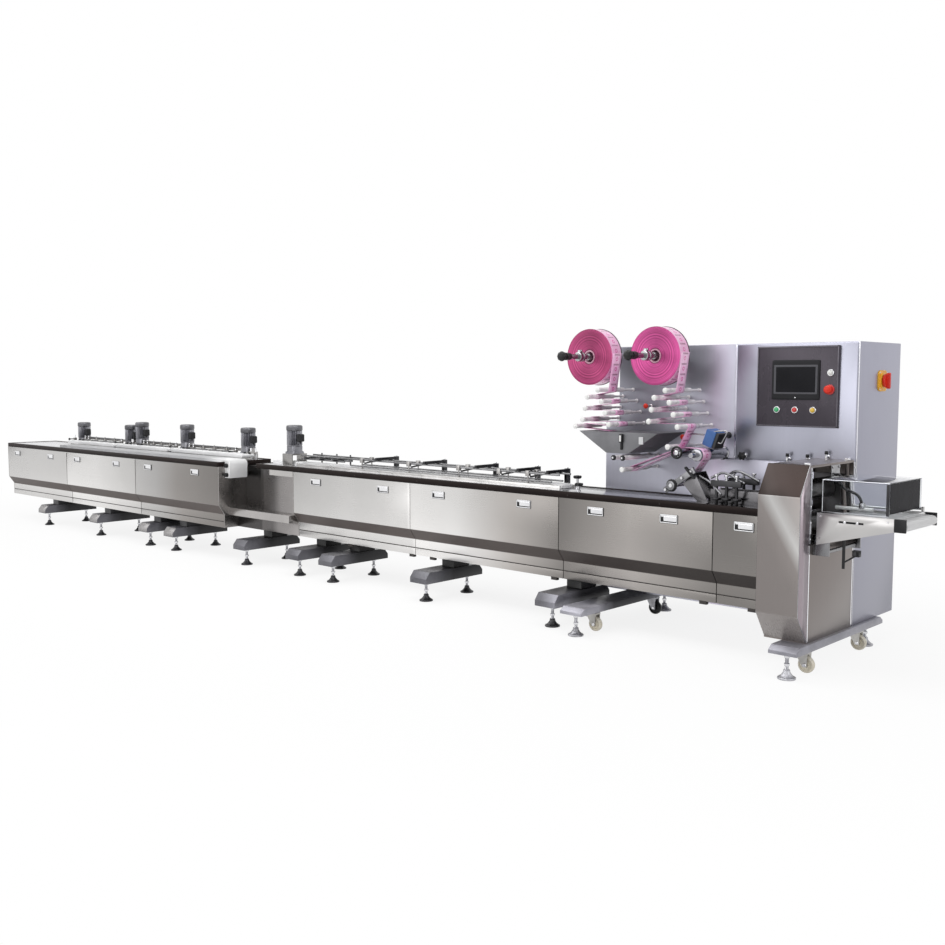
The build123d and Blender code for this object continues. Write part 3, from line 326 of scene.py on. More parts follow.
node_body = {n: b for b, members in frame["record"]["behaviour"]["bodies"].items() for n in members}
feet = solids("levelling_feet")
stands = laid(feet[:, :, 0].mean(1), feet[:, :, 1].mean(1), 0.0)
foot_black = finish("foot_black", (0.085, 0.085, 0.09), (0.03, 0.03, 0.032), 0.28, 0.7, (120, 120, 60),
                    (14.0, 0.2), 0.05)
graded(foot_black, (1 / 9, 0.05, 0, 0.5), [(0.775, 1.0), (0.790, 7.0), (0.92, 7.0), (0.94, 8.0)])
bright_plate = finish("bright_plate", (0.80, 0.80, 0.82), (0.58, 0.58, 0.60), 0.14, 1.0, 160, (9.0, 0.2), 0.03)
cone = [(0, 0), (0.0445, 0), (0.045, 0.002), (0.045, 0.007), (0.043, 0.0095), (0.038, 0.011), (0.027, 0.020),
        (0.019, 0.031), (0.0165, 0.037), (0.0165, 0.043), (0.013, 0.047), (0, 0.047)]
shell("foot_cones", [at(turned(cone, "z", 28), stands)], foot_black, "levelling_feet", True)
turns = np.arange(0.044, 0.104, 0.0016)
thread = [(0, 0.044)] + [(0.0085 if k % 2 else 0.0098, z) for k, z in enumerate(turns)] + [(0, 0.104)]
nut = [(0, 0.1035), (0.0125, 0.1035), (0.0165, 0.1055), (0.0165, 0.1225), (0.0145, 0.1245), (0, 0.1245)]
low_nut = [(0, 0.064), (0.012, 0.064), (0.0155, 0.066), (0.0155, 0.076), (0.012, 0.078), (0, 0.078)]
shell("foot_stems", [at(turned(thread, "z", 14), stands), at(turned(nut, "z", 6), stands),
                     at(turned(low_nut, "z", 6), stands)], bright_plate, "levelling_feet", sharp=30.0)


# Casters: pale nylon wheels in pressed zinc forks that swivel under the wrapper's two beams. The tread
# is crowned and the axle bolt is locked with a nut on each cheek. One set is black.
def softened(node, radius, made):
    """The CAD node's own form with every sharp edge rounded by a small radius; it stands for the node."""
    work = bmesh.new()
    work.from_mesh(frame["nodes"][node].data)
    bmesh.ops.remove_doubles(work, verts=work.verts, dist=1e-5)
    bmesh.ops.dissolve_limit(work, angle_limit=0.02, verts=work.verts, edges=work.edges)
    mesh = bpy.data.meshes.new(node + "_rounded")
    work.to_mesh(mesh)
    work.free()
    mesh.materials.clear()
    mesh.materials.append(made)
    mesh.polygons.foreach_set("use_smooth", np.ones(len(mesh.polygons), bool))
    mesh.polygons.foreach_set("material_index", np.zeros(len(mesh.polygons), np.int32))
    piece = bpy.data.objects.new(node + "_rounded", mesh)
    edge = piece.modifiers.new("edge", "BEVEL")
    edge.width, edge.segments, edge.limit_method, edge.angle_limit = radius, 2, "ANGLE", math.radians(28)
    edge.harden_normals = True
    return placed(piece, node, True)


zinc = finish("zinc_plate", (0.56, 0.55, 0.53), (0.36, 0.35, 0.33), 0.3, 1.0, 200, (14.0, 0.2), 0.05)
nylon = finish("cream_nylon", (0.90, 0.87, 0.77), (0.78, 0.71, 0.56), 0.42, 0.0, 500, (18.0, 0.15), 0.06)
tread = [(0.0085, -0.012), (0.016, -0.0125), (0.018, -0.008), (0.030, -0.008), (0.032, -0.0125), (0.0365, -0.0138),
         (0.0402, -0.011), (0.0416, -0.006), (0.042, 0.0), (0.0416, 0.006), (0.0402, 0.011), (0.0365, 0.0138),
         (0.032, 0.0125), (0.030, 0.008), (0.018, 0.008), (0.016, 0.0125), (0.0085, 0.012), (0.0085, -0.012)]
bolt = [(0, -0.0275), (0.0085, -0.0275), (0.0095, -0.0262), (0.0095, -0.0238), (0, -0.0238)]
black_plastic = finish("black_plastic", (0.024, 0.024, 0.026), (0.010, 0.010, 0.011), 0.30, 0.0, 700, (8.0, 0.15),
                       0.08)
tuned(black_plastic, "Specular IOR Level", 0.25)
for spot in ("front_left", "rear_left", "front_right", "rear_right"):
    wheel, fork = "caster_wheel_" + spot, "caster_fork_" + spot
    hub = np.mean(np.array(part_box(wheel)), 0)
    shell("caster_tread_" + spot, [at(turned(tread, "y", 40), hub)],
          black_plastic if spot == "rear_left" else nylon, wheel, True)
    softened(fork, 0.0012, foot_black if spot == "rear_left" else zinc)
    ends = [at(turned(bolt, "y", 6) * [1, way, 1], hub) for way in (1, -1)]
    shell("caster_bolts_" + spot, ends, bright_plate, fork, sharp=30.0)

# Cross beams: painted box section with sloped noses, one under each pair of feet, with a short pedestal
# up to the conveyor and a plate for each caster. The beams under the wrapper are lighter. Painted shade
# darkens the pedestals and the beams under the machine, and the noses carry a painted highlight, on the
# feeder's beams as lighter steel sheets laid on the noses.
along_line = (1 / 9, 0, 0, 0.5)
beam_paint = finish("beam_paint", (0.078, 0.077, 0.086), (0.040, 0.040, 0.046), 0.26, 0.35, 300, (6.0, 0.2), 0.06)
graded(beam_paint, along_line, [(0.79, 1.0), (0.806, 2.6), (0.94, 4.6), (0.96, 5.4)])
# Painted shade: the pedestals above the beam tops are darkened.
graded(beam_paint, (0, 0, 1.0, 0), [(0.0, 1.0), (0.2005, 1.0), (0.204, 0.35)])
plain_paint = source(beam_paint)
# Painted highlight on the noses, front and back, and painted shade on the middle of the beams under the machine.
graded(beam_paint, (0, 1 / 1.2, 0, 0.5), [(0.0, 2.3), (0.14, 2.0), (0.20, 1.0), (0.27, 0.20), (0.50, 0.20),
                                          (0.67, 0.9), (1.0, 1.3)])
# The last beam keeps the colour from before that painted highlight and shade.
last_beam = graded_mask(beam_paint, along_line, [(0.925, 0.0), (0.935, 1.0)])
tuned(beam_paint, "Base Color", mixed(beam_paint, last_beam, source(beam_paint), plain_paint))
softened("cross_beams", 0.004, beam_paint)


def thin_sheet(name, grids, made, node):
    """Shell of thin sheet metal, laid on a form of the node."""
    shell(name, grids, made, node).modifiers.new("sheet", "SOLIDIFY").thickness = 0.0006


# Painted highlight: a lighter steel sheet laid on the feeder beams' noses stands for the light falling on them.
nose_highlight_steel = finish("nose_highlight_steel", (0.44, 0.43, 0.43), (0.30, 0.29, 0.29), 0.40, 0.4, 300, (6.0, 0.2), 0.06)
nose_y, nose_z = np.array([[-0.0004], [-0.0004], [0.0330]]), np.array([[0.130], [0.1592], [0.2005]])
feeder_end, pedestal_top = -0.9, 0.22
feeder_beams = [box for box in solids("cross_beams") if box[1, 2] > pedestal_top and box[0, 0] < feeder_end]
noses = [laid([low[0] + 0.004, high[0] - 0.004], low[1] + nose_y, nose_z) for low, high in feeder_beams]
thin_sheet("beam_nose_highlight_sheets", noses, nose_highlight_steel, "cross_beams")


# Conveyor bodies and side panels: brushed stainless sheet, folded inwards at the knee and hung in a row
# along both sides, with a pressed line near the foot. The grain runs along the line.
sheet_steel = finish("sheet_steel", (0.46, 0.44, 0.43), (0.30, 0.285, 0.275), 0.24, 1.0, (4, 400, 400), (1.5, 0.1),
                     0.03)
softened("conveyor_cores", 0.0015, sheet_steel)
panel_steel = finish("panel_steel", (0.64, 0.63, 0.62), (0.55, 0.54, 0.53), 0.22, 1.0, (3, 500, 500), (0.7, 0.1),
                     0.03)
bare = source(panel_steel)
row_start, row_length = 4.74, 8.8
along_row, upright = (1 / row_length, 0, 0, row_start / row_length), (0, 0, 1, 0)
# Painted reflection: the panels step lighter and darker along the row, the darker tones warmed.
painted_reflection_tones = [(-4.68, 0.92), (-4.0, 0.97), (-3.385, 0.97), (-3.37, 1.22), (-2.8, 1.22), (-2.09, 0.95), (-2.075, 0.84),
         (-1.75, 0.72), (-1.4, 0.50), (-1.03, 0.42), (-0.785, 0.38), (0.02, 0.88), (0.6, 1.0), (1.300, 1.04),
         (1.312, 1.34), (1.75, 1.18), (2.2, 0.64), (2.585, 0.33), (2.598, 0.33), (2.80, 0.46), (3.1, 0.62),
         (3.4, 0.45), (3.628, 0.33), (3.636, 0.34), (4.0, 0.32)]
reflection_warmth = np.array([1.03, 0.985, 0.955])
graded(panel_steel, along_row, [((x + row_start) / row_length, grey * (reflection_warmth if grey < 0.7 else np.ones(3)))
                                for x, grey in painted_reflection_tones])
knee_foot, knee_top = 0.3665, 0.4415
# Painted reflection: the panels are lighter towards the knee and the foot and darker towards the top.
graded(panel_steel, upright, [(0.0, 1.05), (0.300, 1.10), (knee_foot, 1.20), (knee_top, 1.08), (0.55, 1.0),
                              (0.70, 0.94)])
# Painted shade: the inward-facing fold at the knee is darkened, most towards the wrapper end, and made rougher and less
# metallic.
knee = graded_mask(panel_steel, upright, [(0.0, 0.0), (0.3663, 0.0), (0.3672, 1.0), (0.4403, 1.0), (0.4412, 0.0)])
knee_shade_tone = [(0.0, (0.185, 0.158, 0.150)), (0.70, (0.180, 0.152, 0.144)), (0.86, (0.100, 0.082, 0.077)),
             (0.94, (0.052, 0.042, 0.039))]
shadow = mixed(panel_steel, 1.0, bare, graded_mask(panel_steel, along_row, knee_shade_tone), "MULTIPLY")
tuned(panel_steel, "Base Color", mixed(panel_steel, knee, source(panel_steel), shadow))
for label, change, plain in (("Roughness", 0.30, source(panel_steel, "Roughness")), ("Metallic", -0.70, 1.0)):
    tuned(panel_steel, label, sum_up(panel_steel.node_tree, "MULTIPLY_ADD", knee, change, plain))
softened("front_panels", 0.0015, panel_steel)
softened("rear_panels", 0.0015, panel_steel)


# Pull latches: a plated frame let into the panel, a dark pocket behind it and a bright tongue that fills
# most of the pocket. Each is fixed with two rivets.
def slab(size, corner, edge, axis="z", steps=4):
    """Plate with rounded corners and a rounded front edge, centred on its back face at the origin. Rows
    shrink the rounded-rectangle outline; size is (width, height, thickness), thickness along the axis."""
    side, up, along = (np.array(v, float) for v in AXES[axis])
    w, h, t = size
    quarter = np.linspace(0, np.pi / 2, steps + 1)
    angle = np.concatenate([quarter + k * np.pi / 2 for k in range(4)])
    sign = np.repeat([[1, 1], [-1, 1], [-1, -1], [1, -1]], steps + 1, axis=0)
    centre = sign * np.array([w / 2 - corner, h / 2 - corner])
    rows = np.array([(0, 0.0), (1, 0.0), (1, t - edge), (2, t - edge * 0.3), (3, t), (4, t), (0, t)])
    inset = np.array([0, 0, edge * 0.3, edge, edge])[rows[:, 0].astype(int)]
    arc = laid(np.cos(angle), np.sin(angle))
    ring = centre[None] + np.maximum(corner - inset, 1e-5)[:, None, None] * arc[None]
    ring = ring * np.array([0, 1, 1, 1, 0.95])[rows[:, 0].astype(int)][:, None, None]
    ring = np.concatenate([ring, ring[:, :1]], 1)
    return ring[:, :, :1] * side + ring[:, :, 1:] * up + rows[:, 1][:, None, None] * along


def front_slab(size, corner, edge, place=(0, 0, 0), steps=4):
    """Slab that faces the front, with the middle of its back at a place."""
    return slab(size, corner, edge, "y", steps) * [1, -1, 1] + place


groove_dark = finish("groove_dark", (0.050, 0.043, 0.040), (0.025, 0.021, 0.019), 0.4, 0.3, (5, 300, 300),
                     (4.0, 0.1), 0.03)
fold_depth, line_z = 0.050, 0.3065
lines = []
for node, way in (("front_panels", -1.0), ("rear_panels", 1.0)):
    for low, high in solids(node):
        face = (low[1] if way < 0 else high[1]) - way * fold_depth
        line = slab((high[0] - low[0] - 0.002, 0.0066, 0.0026), 0.0005, 0.0003, "y") * [1, way, 1]
        lines.append(line + [(low[0] + high[0]) / 2, face - way * 0.0029, line_z])
shell("pressed_lines", lines, groove_dark, "front_panels")
feeder_panels = solids("front_panels")[:3]
sheet_front = feeder_panels[0, 0, 1] - 0.0006
joint_y = sheet_front + np.array([[0], [0], [fold_depth], [fold_depth]])
joint_z = np.array([[0.746], [knee_top], [knee_foot], [0.262]])
gaps = [laid([x - 0.0030, x + 0.0020], joint_y, joint_z) for x in feeder_panels[1:, 0, 0]]
thin_sheet("panel_joints", gaps, groove_dark, "front_panels")
tabs = at(slab((0.046, 0.024, 0.019), 0.003, 0.001), laid([0.62, 1.27, 1.47, 2.52, 3.55, 3.84], -0.2895, 0.2405))
shell("skirt_tabs", [tabs], groove_dark, "front_panels")
latches = solids("panel_latches")
hung = laid(latches[:, :, 0].mean(1), latches[:, 1, 1], latches[:, :, 2].mean(1))
latch_chrome = finish("latch_chrome", (0.90, 0.90, 0.91), (0.72, 0.72, 0.74), 0.14, 1.0, (300, 20, 300),
                      (9.0, 0.15), 0.02)
shell("latch_pockets", [at(front_slab((0.116, 0.050, 0.0026), 0.004, 0.0008), hung)], black_plastic,
      "panel_latches", True)
frame_bars = [(0.110, 0.007, 0.0, 0.0208), (0.110, 0.005, 0.0, -0.0205), (0.005, 0.044, -0.0535, 0.0),
              (0.004, 0.044, 0.0535, 0.0)]
bars = [at(front_slab((w, h, 0.0046), min(w, h) * 0.4, 0.001, [dx, 0, dz]), hung) for w, h, dx, dz in frame_bars]
tongue = at(front_slab((0.082, 0.027, 0.0048), 0.005, 0.0016, [0.009, 0, 0.0012]), hung)
finger = at(front_slab((0.098, 0.009, 0.0040), 0.003, 0.0012, [0.0, 0, 0.0145]), hung)
shell("latch_frames", bars + [tongue, finger], latch_chrome, "panel_latches")

# Table edges and plates: a dark moulded strip with a rounded top runs round each table, screwed on from
# the front, and holds the polished plates that the belts lie on.
dark_trim = finish("dark_trim", (0.024, 0.016, 0.015), (0.011, 0.0075, 0.007), 0.34, 0.0, (4, 250, 250),
                   (1.6, 0.15), 0.03)
tuned(dark_trim, "Specular IOR Level", 0.08)
# Painted highlight and shade: the strip is lighter near its rounded top and darker at its foot.
graded(dark_trim, (0, 0, 1 / 0.06, -0.745 / 0.06), [(0.0, 0.7), (0.45, 1.0), (0.62, 1.3), (0.8, 1.1)])
softened("edge_trim", 0.006, dark_trim)
table_steel = finish("table_steel", (0.84, 0.84, 0.85), (0.70, 0.70, 0.71), 0.13, 1.0, (5, 300, 300), (1.2, 0.14),
                     0.02)
tuned(table_steel, "Specular Tint", (0.88, 0.88, 0.89, 1))
# Painted shade: the plates darken towards the wrapper end.
graded(table_steel, along_line, [(0.77, 1.0), (0.83, 0.45), (0.89, 0.30), (0.93, 0.25)])
softened("table_plates", 0.001, table_steel)
screw = [(0, -0.0012), (0.0032, -0.0012), (0.0036, -0.0006), (0.0036, 0.0), (0, 0.0)]
screw_z = 0.772
rows = np.concatenate([laid(np.arange(-4.5, -0.8, 0.62), -0.488, screw_z),
                       laid(np.arange(0.1, 3.9, 0.64), -0.354, screw_z)])
shell("trim_screws", [at(turned(screw, "y", 12), rows)], groove_dark, "edge_trim")

# Transfer recess: a set-back steel housing between the feeder and the infeed table, with a folded tray
# under the belt nose that catches loose product.
recess_steel = finish("recess_steel", (0.42, 0.40, 0.395), (0.28, 0.265, 0.26), 0.24, 1.0, (4, 400, 400),
                      (1.5, 0.1), 0.03)
# Painted shade: the housing darkens towards its left end, deep in the recess.
graded(recess_steel, (1.0, 0, 0, 0.80), [(0.0, 0.20), (0.34, 0.26), (0.352, 0.46), (0.48, 0.42), (0.56, 0.80),
                                         (0.80, 1.05)])
softened("transfer_housing", 0.0015, recess_steel)
softened("transfer_tray", 0.0015, finish("tray_steel", (0.52, 0.50, 0.49), (0.38, 0.365, 0.355), 0.2, 1.0,
                                         (4, 400, 400), (2.0, 0.12), 0.03))
band = front_slab((0.385, 0.052, 0.004), 0.002, 0.001, [-0.181, -0.280, 0.728])
shell("recess_band", [band], finish("band_steel", (0.62, 0.60, 0.585), (0.48, 0.465, 0.455), 0.2, 1.0,
                                    (4, 400, 400), (2.0, 0.1), 0.03), "transfer_housing")

# Feeder belts: white woven belts running on aluminium beds, the low one turned down over a nose between
# black roller ends. They are endless loops.
white_belt = finish("white_belt", (0.86, 0.86, 0.86), (0.74, 0.74, 0.75), 0.45, 0.0, 420, (3.0, 0.15), 0.06)
# Painted shade: the outfeed belt is darkened under the guard, lighter again at its tip.
graded(white_belt, (1 / 10, 0, 0, 0.5), [(0.90, 1.0), (0.91, 0.46), (0.958, 0.40), (0.966, 0.92)])
# The front of the low belt along the feeder is mixed to a mid grey.
low_side = graded_mask(white_belt, (0, 1 / 0.6, 0, 0.75), [(0.3333, 1.0), (0.3433, 0.0)])
low_reach = graded_mask(white_belt, along_line, [(0.3778, 1.0), (0.4044, 0.0)])
low_front_grey = sum_up(white_belt.node_tree, "MULTIPLY", low_side, low_reach)
tuned(white_belt, "Base Color", mixed(white_belt, low_front_grey, source(white_belt), (0.40, 0.40, 0.41, 1)))
softened("conveyor_belts", 0.0012, white_belt)
softened("nose_roller_ends", 0.002, black_plastic)
rail_alloy = finish("rail_alloy", (0.46, 0.45, 0.44), (0.27, 0.26, 0.255), 0.24, 1.0, (3, 300, 300), (5.0, 0.15),
                    0.04)
bed_alloy = finish("bed_alloy", (0.46, 0.45, 0.44), (0.30, 0.295, 0.29), 0.24, 1.0, (3, 300, 300), (5.0, 0.15), 0.04)
graded(bed_alloy, along_line, [(0.482, 1.0), (0.484, 1.85)])
softened("belt_frames", 0.0012, bed_alloy)

# Geared motors: cast bodies with upright cooling ribs, a pressed fan cowl on top and a black terminal box
# at the side. Each is bolted to a bracket that stands on the table.
motor_grey = finish("motor_grey", (0.33, 0.33, 0.355), (0.14, 0.14, 0.155), 0.24, 0.9, (200, 200, 60), (10.0, 0.2),
                    0.10)
softened("motor_bridges", 0.0012, rail_alloy)
motors = solids("geared_motors")
seats = laid(motors[:, :, 0].mean(1), motors[:, :, 1].mean(1), motors[:, 0, 2])
flange = slab((0.110, 0.110, 0.012), 0.012, 0.002)
gear_case = slab((0.095, 0.095, 0.050), 0.016, 0.004) + [0, 0, 0.011]
ribs = spun([(0.051, 0.058), (0.057, 0.062), (0.0605, 0.068), (0.0605, 0.176), (0.057, 0.181), (0.049, 0.184)],
            "z", 144, 24, 0.17)
collar = spun([(0.054, 0.056), (0.0565, 0.059), (0.0565, 0.067), (0.052, 0.070)], "z", 40)
shell("motor_bodies", [at(part, seats) for part in (flange, gear_case, ribs, collar)], motor_grey, "geared_motors",
      True)
cowl = spun([(0.061, 0.180), (0.0635, 0.183), (0.0635, 0.207), (0.0625, 0.214), (0.058, 0.219), (0.050, 0.2215),
             (0.042, 0.2215), (0.040, 0.2195), (0.034, 0.2195), (0.032, 0.2215), (0.024, 0.2215), (0.022, 0.2195),
             (0.014, 0.2195), (0.012, 0.2215)], "z", 44)
cowl_black = finish("cowl_black", (0.20, 0.20, 0.215), (0.085, 0.085, 0.092), 0.26, 0.7, 200, (10.0, 0.15), 0.05)
shell("motor_cowls", [at(cowl, seats)], cowl_black, "geared_motors")
corner = np.array([[sx * 0.046, sy * 0.046, 0.0118] for sx in (-1, 1) for sy in (-1, 1)])
cap_screw = spun([(0.0052, 0), (0.0056, 0.0006), (0.0056, 0.0052), (0.0046, 0.006)], "z", 12)
shell("motor_bolts", [at(cap_screw, (seats[:, None] + corner[None]).reshape(-1, 3))], bright_plate, "geared_motors")
boxes = solids("terminal_boxes")
sides = laid(boxes[:, 0, 0], boxes[:, :, 1].mean(1), boxes[:, :, 2].mean(1))
lid = slab((0.052, 0.060, 0.024), 0.006, 0.002, "x")
cover = slab((0.048, 0.056, 0.010), 0.006, 0.003, "x") + [0.0238, 0, 0]
gland = spun([(0.007, -0.0445), (0.007, -0.036), (0.0095, -0.036), (0.0095, -0.0295)], "z", 6) + [0.013, 0, 0]
shell("terminal_lids", [at(part, sides) for part in (lid, cover, gland)], black_plastic, "terminal_boxes", True)


# Guide clamps on the feeder: plated posts stand on the beds beside the rails, each with a clamp block and
# a small black hand screw that sets the product guides.
def bent_rod(points, radius, count=12, smooth=6):
    """Round rod along a path of points, corners eased by a Catmull-Rom curve, ends closed.
    Ring at each station = centre + radius * (cos * normal + sin * other normal)."""
    p = np.asarray(points, float)
    q = np.vstack([2 * p[0] - p[1], p, 2 * p[-1] - p[-2]])
    t = np.linspace(0, 1, smooth, endpoint=False)[None, :, None]
    a, b, c, d = q[:-3, None], q[1:-2, None], q[2:-1, None], q[3:, None]
    curve = 0.5 * (2 * b + (c - a) * t + (2 * a - 5 * b + 4 * c - d) * t ** 2 + (3 * b - a - 3 * c + d) * t ** 3)
    curve = np.vstack([curve.reshape(-1, 3), p[-1:]])
    tangent = np.gradient(curve, axis=0)
    tangent /= np.linalg.norm(tangent, axis=1, keepdims=True)
    normal = np.cross(tangent, np.array([0.31, 0.17, 0.93]))
    normal /= np.linalg.norm(normal, axis=1, keepdims=True)
    other = np.cross(tangent, normal)
    angle = np.linspace(0, 2 * np.pi, count + 1)
    ring = np.cos(angle)[None, :, None] * normal[:, None] + np.sin(angle)[None, :, None] * other[:, None]
    close = [np.repeat(curve[i][None, None], count + 1, 1) for i in (0, -1)]
    return np.concatenate([close[0], curve[:, None] + radius * ring, close[1]])


def level_rod(start, end, y, z, radius):
    """Straight round rod along the line, from one x to another."""
    return bent_rod([(start, y, z), (end, y, z)], radius, 10, 2)


rail_chrome = finish("rail_chrome", (0.26, 0.26, 0.265), (0.12, 0.12, 0.125), 0.18, 1.0, (6, 300, 300), (6.0, 0.1),
                     0.02)
dark_steel = finish("dark_steel", (0.070, 0.069, 0.073), (0.024, 0.024, 0.026), 0.24, 0.85, 200, (8.0, 0.2), 0.06)
clamp_x = np.concatenate([x + np.array([-0.135, 0.085, 0.150]) for x in seats[:5, 0]])
bed_top, post_y = 0.788, -0.088
posts = laid(clamp_x, post_y, bed_top)
post = spun([(0.011, 0), (0.011, 0.004), (0.006, 0.006), (0.006, 0.094), (0.005, 0.096)], "z", 16)
shell("guide_posts", [at(post, posts)], bright_plate, "belt_frames")
block = slab((0.030, 0.026, 0.024), 0.003, 0.0015) + [0, 0, 0.044]
arm = slab((0.012, 0.052, 0.010), 0.003, 0.001) + [0, -0.030, 0.051]
shell("guide_blocks", [at(block, posts), at(arm, posts)], rail_alloy, "belt_frames")
spans = [(seats[k, 0] + 0.070, seats[k + 1, 0] - 0.120) for k in range(4)]
rods = [level_rod(a, b, y, z, 0.0065) for a, b in spans
        for y, z in ((-0.112, 0.8445), (-0.136, 0.8445), (post_y, 0.872))]
shell("guide_rods", rods, rail_chrome, "belt_frames")
middle = laid([a + (b - a) * share for a, b in spans for share in (0.32, 0.55, 0.80)], post_y, bed_top)
middle_arm = slab((0.014, 0.064, 0.012), 0.003, 0.001) + [0, -0.034, 0.050]
shell("guide_middle_posts", [at(part, middle) for part in (post, block, middle_arm)], rail_alloy, "belt_frames")
grip = spun([(0.010, -0.040), (0.0115, -0.038), (0.0115, -0.027), (0.010, -0.025), (0.005, -0.024),
             (0.005, -0.012)], "y", 36, 6, 0.22) + [0, -0.030, 0.056]
shell("guide_screws", [at(grip, posts)], black_plastic, "hand_knobs")


# Infeed guides: two plated round rails carried over the belt by black cranked posts, with slanting links
# and clamp blocks between them, and star knobs for the width at the wrapper's mouth.
softened("infeed_rails", 0.0008, rail_chrome)
softened("infeed_posts", 0.002, dark_steel)
post_x = solids("infeed_posts")[:, :, 0].mean(1)
near_link = [(-0.012, -0.050, 0.880), (-0.09, -0.085, 0.868), (-0.19, -0.118, 0.852)]
far_link = [(0.010, -0.236, 0.884), (-0.06, -0.225, 0.868), (-0.17, -0.205, 0.846)]
links_made = [bent_rod(np.array(link) + [x, 0, 0], 0.006, 10, 4) for link in (near_link, far_link) for x in post_x]
shell("infeed_links", links_made, dark_steel, "infeed_posts")
near_y, far_y, rail_z = -0.120, -0.230, 0.872
ends = np.concatenate([laid(post_x - 0.19, near_y, rail_z), laid(post_x - 0.17, far_y, rail_z)])
low_rods = [level_rod(post_x[0] - 0.30, post_x[-1] + 0.02, y, 0.826, 0.0060) for y in (near_y, far_y)]
shell("infeed_low_rods", low_rods, rail_chrome, "infeed_rails")
far_rails = [level_rod(-0.02, 0.4225, y, rail_z, 0.0060) for y in (near_y, far_y)]
far_rails += [level_rod(-0.05, 0.46, y, 0.844, 0.0060) for y in (-0.142, -0.208)]
shell("infeed_far_rails", far_rails, rail_chrome, "infeed_rails")
far_posts = laid([0.02, 0.20, 0.36], -0.068, bed_top)
far_arm = slab((0.016, 0.184, 0.014), 0.003, 0.001) + [0, -0.078, 0.058]
shell("infeed_far_posts", [at(part, far_posts) for part in (post, block, far_arm)], dark_steel, "infeed_posts")
clip = slab((0.030, 0.024, 0.034), 0.004, 0.002) + [0, 0, -0.020]
stud = turned([(0, -0.064), (0.005, -0.064), (0.005, -0.020), (0, -0.020)], "z", 12)
shell("infeed_clips", [at(clip, ends), at(stud, ends)], rail_alloy, "infeed_rails")
top = laid(post_x, -0.050, 0.8975)
shell("infeed_post_screws", [at(spun([(0.008, 0), (0.008, 0.006), (0.0065, 0.0075)], "z", 6), top)], bright_plate,
      "infeed_posts", sharp=30.0)
knobs = solids("hand_knobs")
spindles, stars = [], []
for low, high in knobs[:2]:
    x, y, _ = (low + high) / 2
    spindles.append(spun([(0.013, low[2]), (0.013, low[2] + 0.006), (0.008, low[2] + 0.008),
                          (0.008, high[2] - 0.016)], "z", 16) + [x, y, 0])
    stars.append(spun([(0.014, high[2] - 0.021), (0.024, high[2] - 0.018), (0.0275, high[2] - 0.012),
                       (0.0275, high[2] - 0.007), (0.024, high[2] - 0.002), (0.012, high[2] - 0.001),
                       (0.009, high[2])], "z", 60, 6, 0.24) + [x, y, 0])
low, high = knobs[3]
x, _, z = (low + high) / 2
spindles.append(spun([(0.010, 0.020), (0.010, 0.048), (0.015, 0.050), (0.015, 0.054)], "y", 16) + [x, 0, z])
stars.append(spun([(0.009, 0.006), (0.012, 0.0075), (0.022, 0.009), (0.0255, 0.014), (0.0255, 0.021),
                   (0.022, 0.026), (0.012, 0.028)], "y", 60, 6, 0.24) + [x, 0, z])
shell("star_grips", stars, black_plastic, "hand_knobs", True)
shell("knob_spindles", spindles, bright_plate, "hand_knobs")
low, high = knobs[2]
x, _, z = (low + high) / 2
rim_angle = np.linspace(0, 2 * np.pi, 17)
section = laid(0.0300 + 0.006 * np.cos(rim_angle), -0.294 + 0.008 * np.sin(rim_angle))
rim = turned(section, "y", 44) + [x, 0, z]
spokes = [bent_rod([(x, -0.293, z), (x + 0.03 * math.cos(a), -0.294, z + 0.03 * math.sin(a))], 0.0035, 8, 2)
          for a in (0.5, 2.6, 4.7)]
shell("hand_wheel_rim", [rim] + spokes, black_plastic, "hand_knobs")
boss = spun([(0.006, -0.304), (0.0075, -0.3025), (0.0135, -0.300), (0.0145, -0.297), (0.0145, -0.287),
             (0.018, -0.285), (0.018, -0.284)], "y", 28) + [x, 0, z]
shell("hand_wheel_boss", [boss], bright_plate, "hand_knobs")

# Cabinet: satin stainless sheets on an upright housing. The film plate carries the rollers and the door beside
# it carries the controls. Bright strips down the door seam and the front corner are painted highlights on those edges.
cabinet_steel = finish("cabinet_steel", (0.400, 0.400, 0.475), (0.345, 0.345, 0.410), 0.28, 0.85, (60, 60, 3),
                       (0.8, 0.1), 0.006)
# Painted shade: the cabinet sheets darken towards the bottom.
graded(cabinet_steel, (0, 0, 0.6, 0), [(0.1, 0.80), (0.5, 0.88), (0.9, 1.02)])
softened("cabinet_shell", 0.003, cabinet_steel)
film_steel = finish("film_plate_steel", (0.40, 0.40, 0.46), (0.31, 0.31, 0.36), 0.34, 0.75, (60, 60, 3),
                    (1.2, 0.1), 0.006)
# Painted reflection and shade: the plate is darker behind the reels, tinted pink right of the right reel, and lighter
# low down and at the top.
graded(film_steel, (1.0, 0, 0.0, -2.6), [(0.0, 0.92), (0.25, 0.70), (0.55, 0.76), (0.70, 1.02),
                                         (0.80, (1.16, 1.06, 1.12)), (0.92, 1.0)])
graded(film_steel, (0, 0, 1.0, -0.8), [(0.05, 1.65), (0.28, 1.45), (0.42, 1.0), (0.60, 1.0), (0.75, 1.28),
                                       (0.85, 1.20)])
softened("film_plates", 0.002, film_steel)
door_steel = finish("door_steel", (0.47, 0.475, 0.56), (0.40, 0.405, 0.475), 0.26, 0.85, (60, 60, 3), (0.8, 0.1),
                    0.006)
# Painted shade: the door darkens in diagonal bands.
graded(door_steel, (0.8, 0, -0.4, -2.4), [(0.0, 0.86), (0.20, 1.0), (0.34, 0.84), (0.5, 1.0)])
softened("cabinet_door", 0.003, door_steel)
edge_bright = finish("edge_bright", (0.92, 0.92, 0.94), (0.80, 0.80, 0.83), 0.15, 1.0, (200, 200, 4), (3.0, 0.1),
                     0.02)
